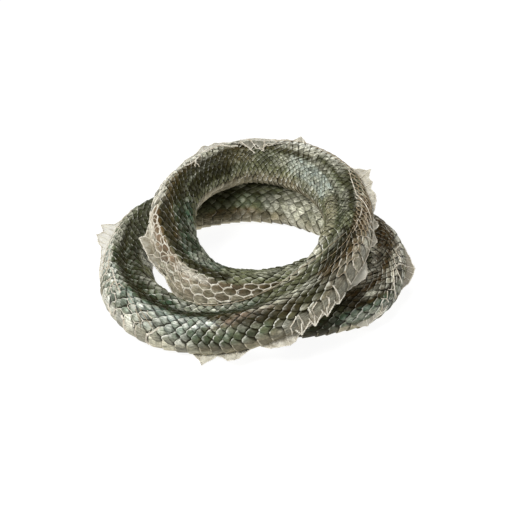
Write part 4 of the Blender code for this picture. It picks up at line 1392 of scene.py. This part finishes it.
# %% [markdown]
# ## Rims and ribs of the films
# A torn film's edge is rolled and thicker than the film, and folds stand across it like ribs. The
# strips of the net would vanish where a film is seen edge on, so these are round cords.

# %% Cords along the rims and ribs
CORD_ROUND = np.radians(np.arange(0.0, 360.0, 60.0))
CORD_RADIUS = 0.38
CORD_LEAN = (0.31, 0.17, 0.93)
CORD_WEAR = -0.1


def lay_cords(name, cords, sizes):
    """Round cords, each from one place to another, given as along, degrees and height."""
    t = THREAD_STEPS[:, None]
    starts, ends = [np.array(places)[:, None] for places in zip(*cords)]
    path = skin(*np.moveaxis(starts * (1 - t) + ends * t, -1, 0))
    ahead = unit(np.gradient(path, axis=1) + BARELY)
    across = unit(np.cross(ahead, CORD_LEAN))[:, :, None]
    other = np.cross(ahead[:, :, None], across)
    ring = np.cos(CORD_ROUND)[:, None] * across + np.sin(CORD_ROUND)[:, None] * other
    radius = CORD_RADIUS * np.array(sizes)[:, None] * uneven_threads(len(cords))
    radius = radius * (0.75 + 0.5 * np.abs(2 * THREAD_STEPS - 1) ** 2.5)
    points = path[:, :, None] + radius[..., None, None] * ring
    one = grid_faces(len(THREAD_STEPS), len(CORD_ROUND), wrap=True)
    faces = repeat_faces(one, len(THREAD_STEPS) * len(CORD_ROUND), len(cords))
    numbers = {"worn": np.full(points.shape[:-1], CORD_WEAR)}
    return new_piece(name, points, faces, net_finish, numbers, SHARP_ON_ROUND)


lay_cords("film_seams", cords, cord_sizes)

# %% [markdown]
# ## Floor, light and camera
# The photo is a studio shot on white. The floor is plain and pale, and glows a little so that it
# stays white under soft light. The camera looks down at the coil from in front with a long lens, as
# the photo does, and is lowered a touch, because the coil lies just above the picture's middle.

# %% Floor and surroundings
FLOOR_HALF = 3.0
WHITE = (1.0, 1.0, 1.0, 1.0)

stage_mesh = bpy.data.meshes.new("pale_floor")
corners = [(-FLOOR_HALF, -FLOOR_HALF, 0.0), (FLOOR_HALF, -FLOOR_HALF, 0.0),
           (FLOOR_HALF, FLOOR_HALF, 0.0), (-FLOOR_HALF, FLOOR_HALF, 0.0)]
stage_mesh.from_pydata(corners, [], [(0, 1, 2, 3)])
floor = bpy.data.objects.new("pale_floor", stage_mesh)
bpy.context.scene.collection.objects.link(floor)
floor_material, _, floor_shader = new_material("pale_floor")
floor_shader.inputs["Base Color"].default_value = (0.16, 0.16, 0.16, 1.0)
floor_shader.inputs["Roughness"].default_value = 0.9
floor_shader.inputs["Specular IOR Level"].default_value = 0.1
floor_shader.inputs["Emission Color"].default_value = WHITE
floor_shader.inputs["Emission Strength"].default_value = 0.92
stage_mesh.materials.append(floor_material)
print("the floor is", 2 * FLOOR_HALF, "m wide")

world = bpy.data.worlds.new("soft_studio")
bpy.context.scene.world = world
world.use_nodes = True
world.node_tree.nodes["Background"].inputs["Color"].default_value = WHITE
world.node_tree.nodes["Background"].inputs["Strength"].default_value = 0.3
bpy.context.scene.view_settings.view_transform = "Standard"

# %% Lights
LIT_POINT = mathutils.Vector((0.0, 0.0, 0.02))


def soft_light(name, place, size, power):
    light = bpy.data.lights.new(name, "AREA")
    light.shape = "DISK"
    light.size = size
    light.energy = power
    lamp = bpy.data.objects.new(name, light)
    bpy.context.scene.collection.objects.link(lamp)
    lamp.location = place
    lamp.rotation_euler = (LIT_POINT - lamp.location).to_track_quat("-Z", "Y").to_euler()
    return lamp


lamps = [soft_light("key_light", (-0.55, -0.65, 1.0), 0.45, 13.0),
         soft_light("top_light", (0.25, 0.45, 1.1), 0.35, 4.0)]
print("lights:", [f"{lamp.name}, {lamp.data.energy:.0f} W" for lamp in lamps])

# %% Camera
TARGET = mathutils.Vector((0.0006, 0.0076, 0.020))
ELEVATION = math.radians(32.0)
DISTANCE = 1.225
LENS = 135.0
SENSOR = 36.0
DROP = 0.0038

back_direction = mathutils.Vector((0.0, -math.cos(ELEVATION), math.sin(ELEVATION)))
camera_up = mathutils.Vector((0.0, math.sin(ELEVATION), math.cos(ELEVATION)))
camera = bpy.data.objects.new("camera", bpy.data.cameras.new("camera"))
bpy.context.scene.collection.objects.link(camera)
camera.data.lens = LENS
camera.data.sensor_width = SENSOR
camera.location = TARGET + DISTANCE * back_direction - DROP * camera_up
camera.rotation_euler = (math.pi / 2 - ELEVATION, 0.0, 0.0)
bpy.context.scene.camera = camera
print("camera:", [round(number, 3) for number in camera.location],
      f"looking down {math.degrees(ELEVATION):.0f} degrees")

# %% [markdown]
# ## The pieces ride with the solid
# Every piece stands for the one imported solid and moves with it.

# %% Ride and replace
for piece in made_pieces:
    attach(piece, "root")
    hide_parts(NODE)
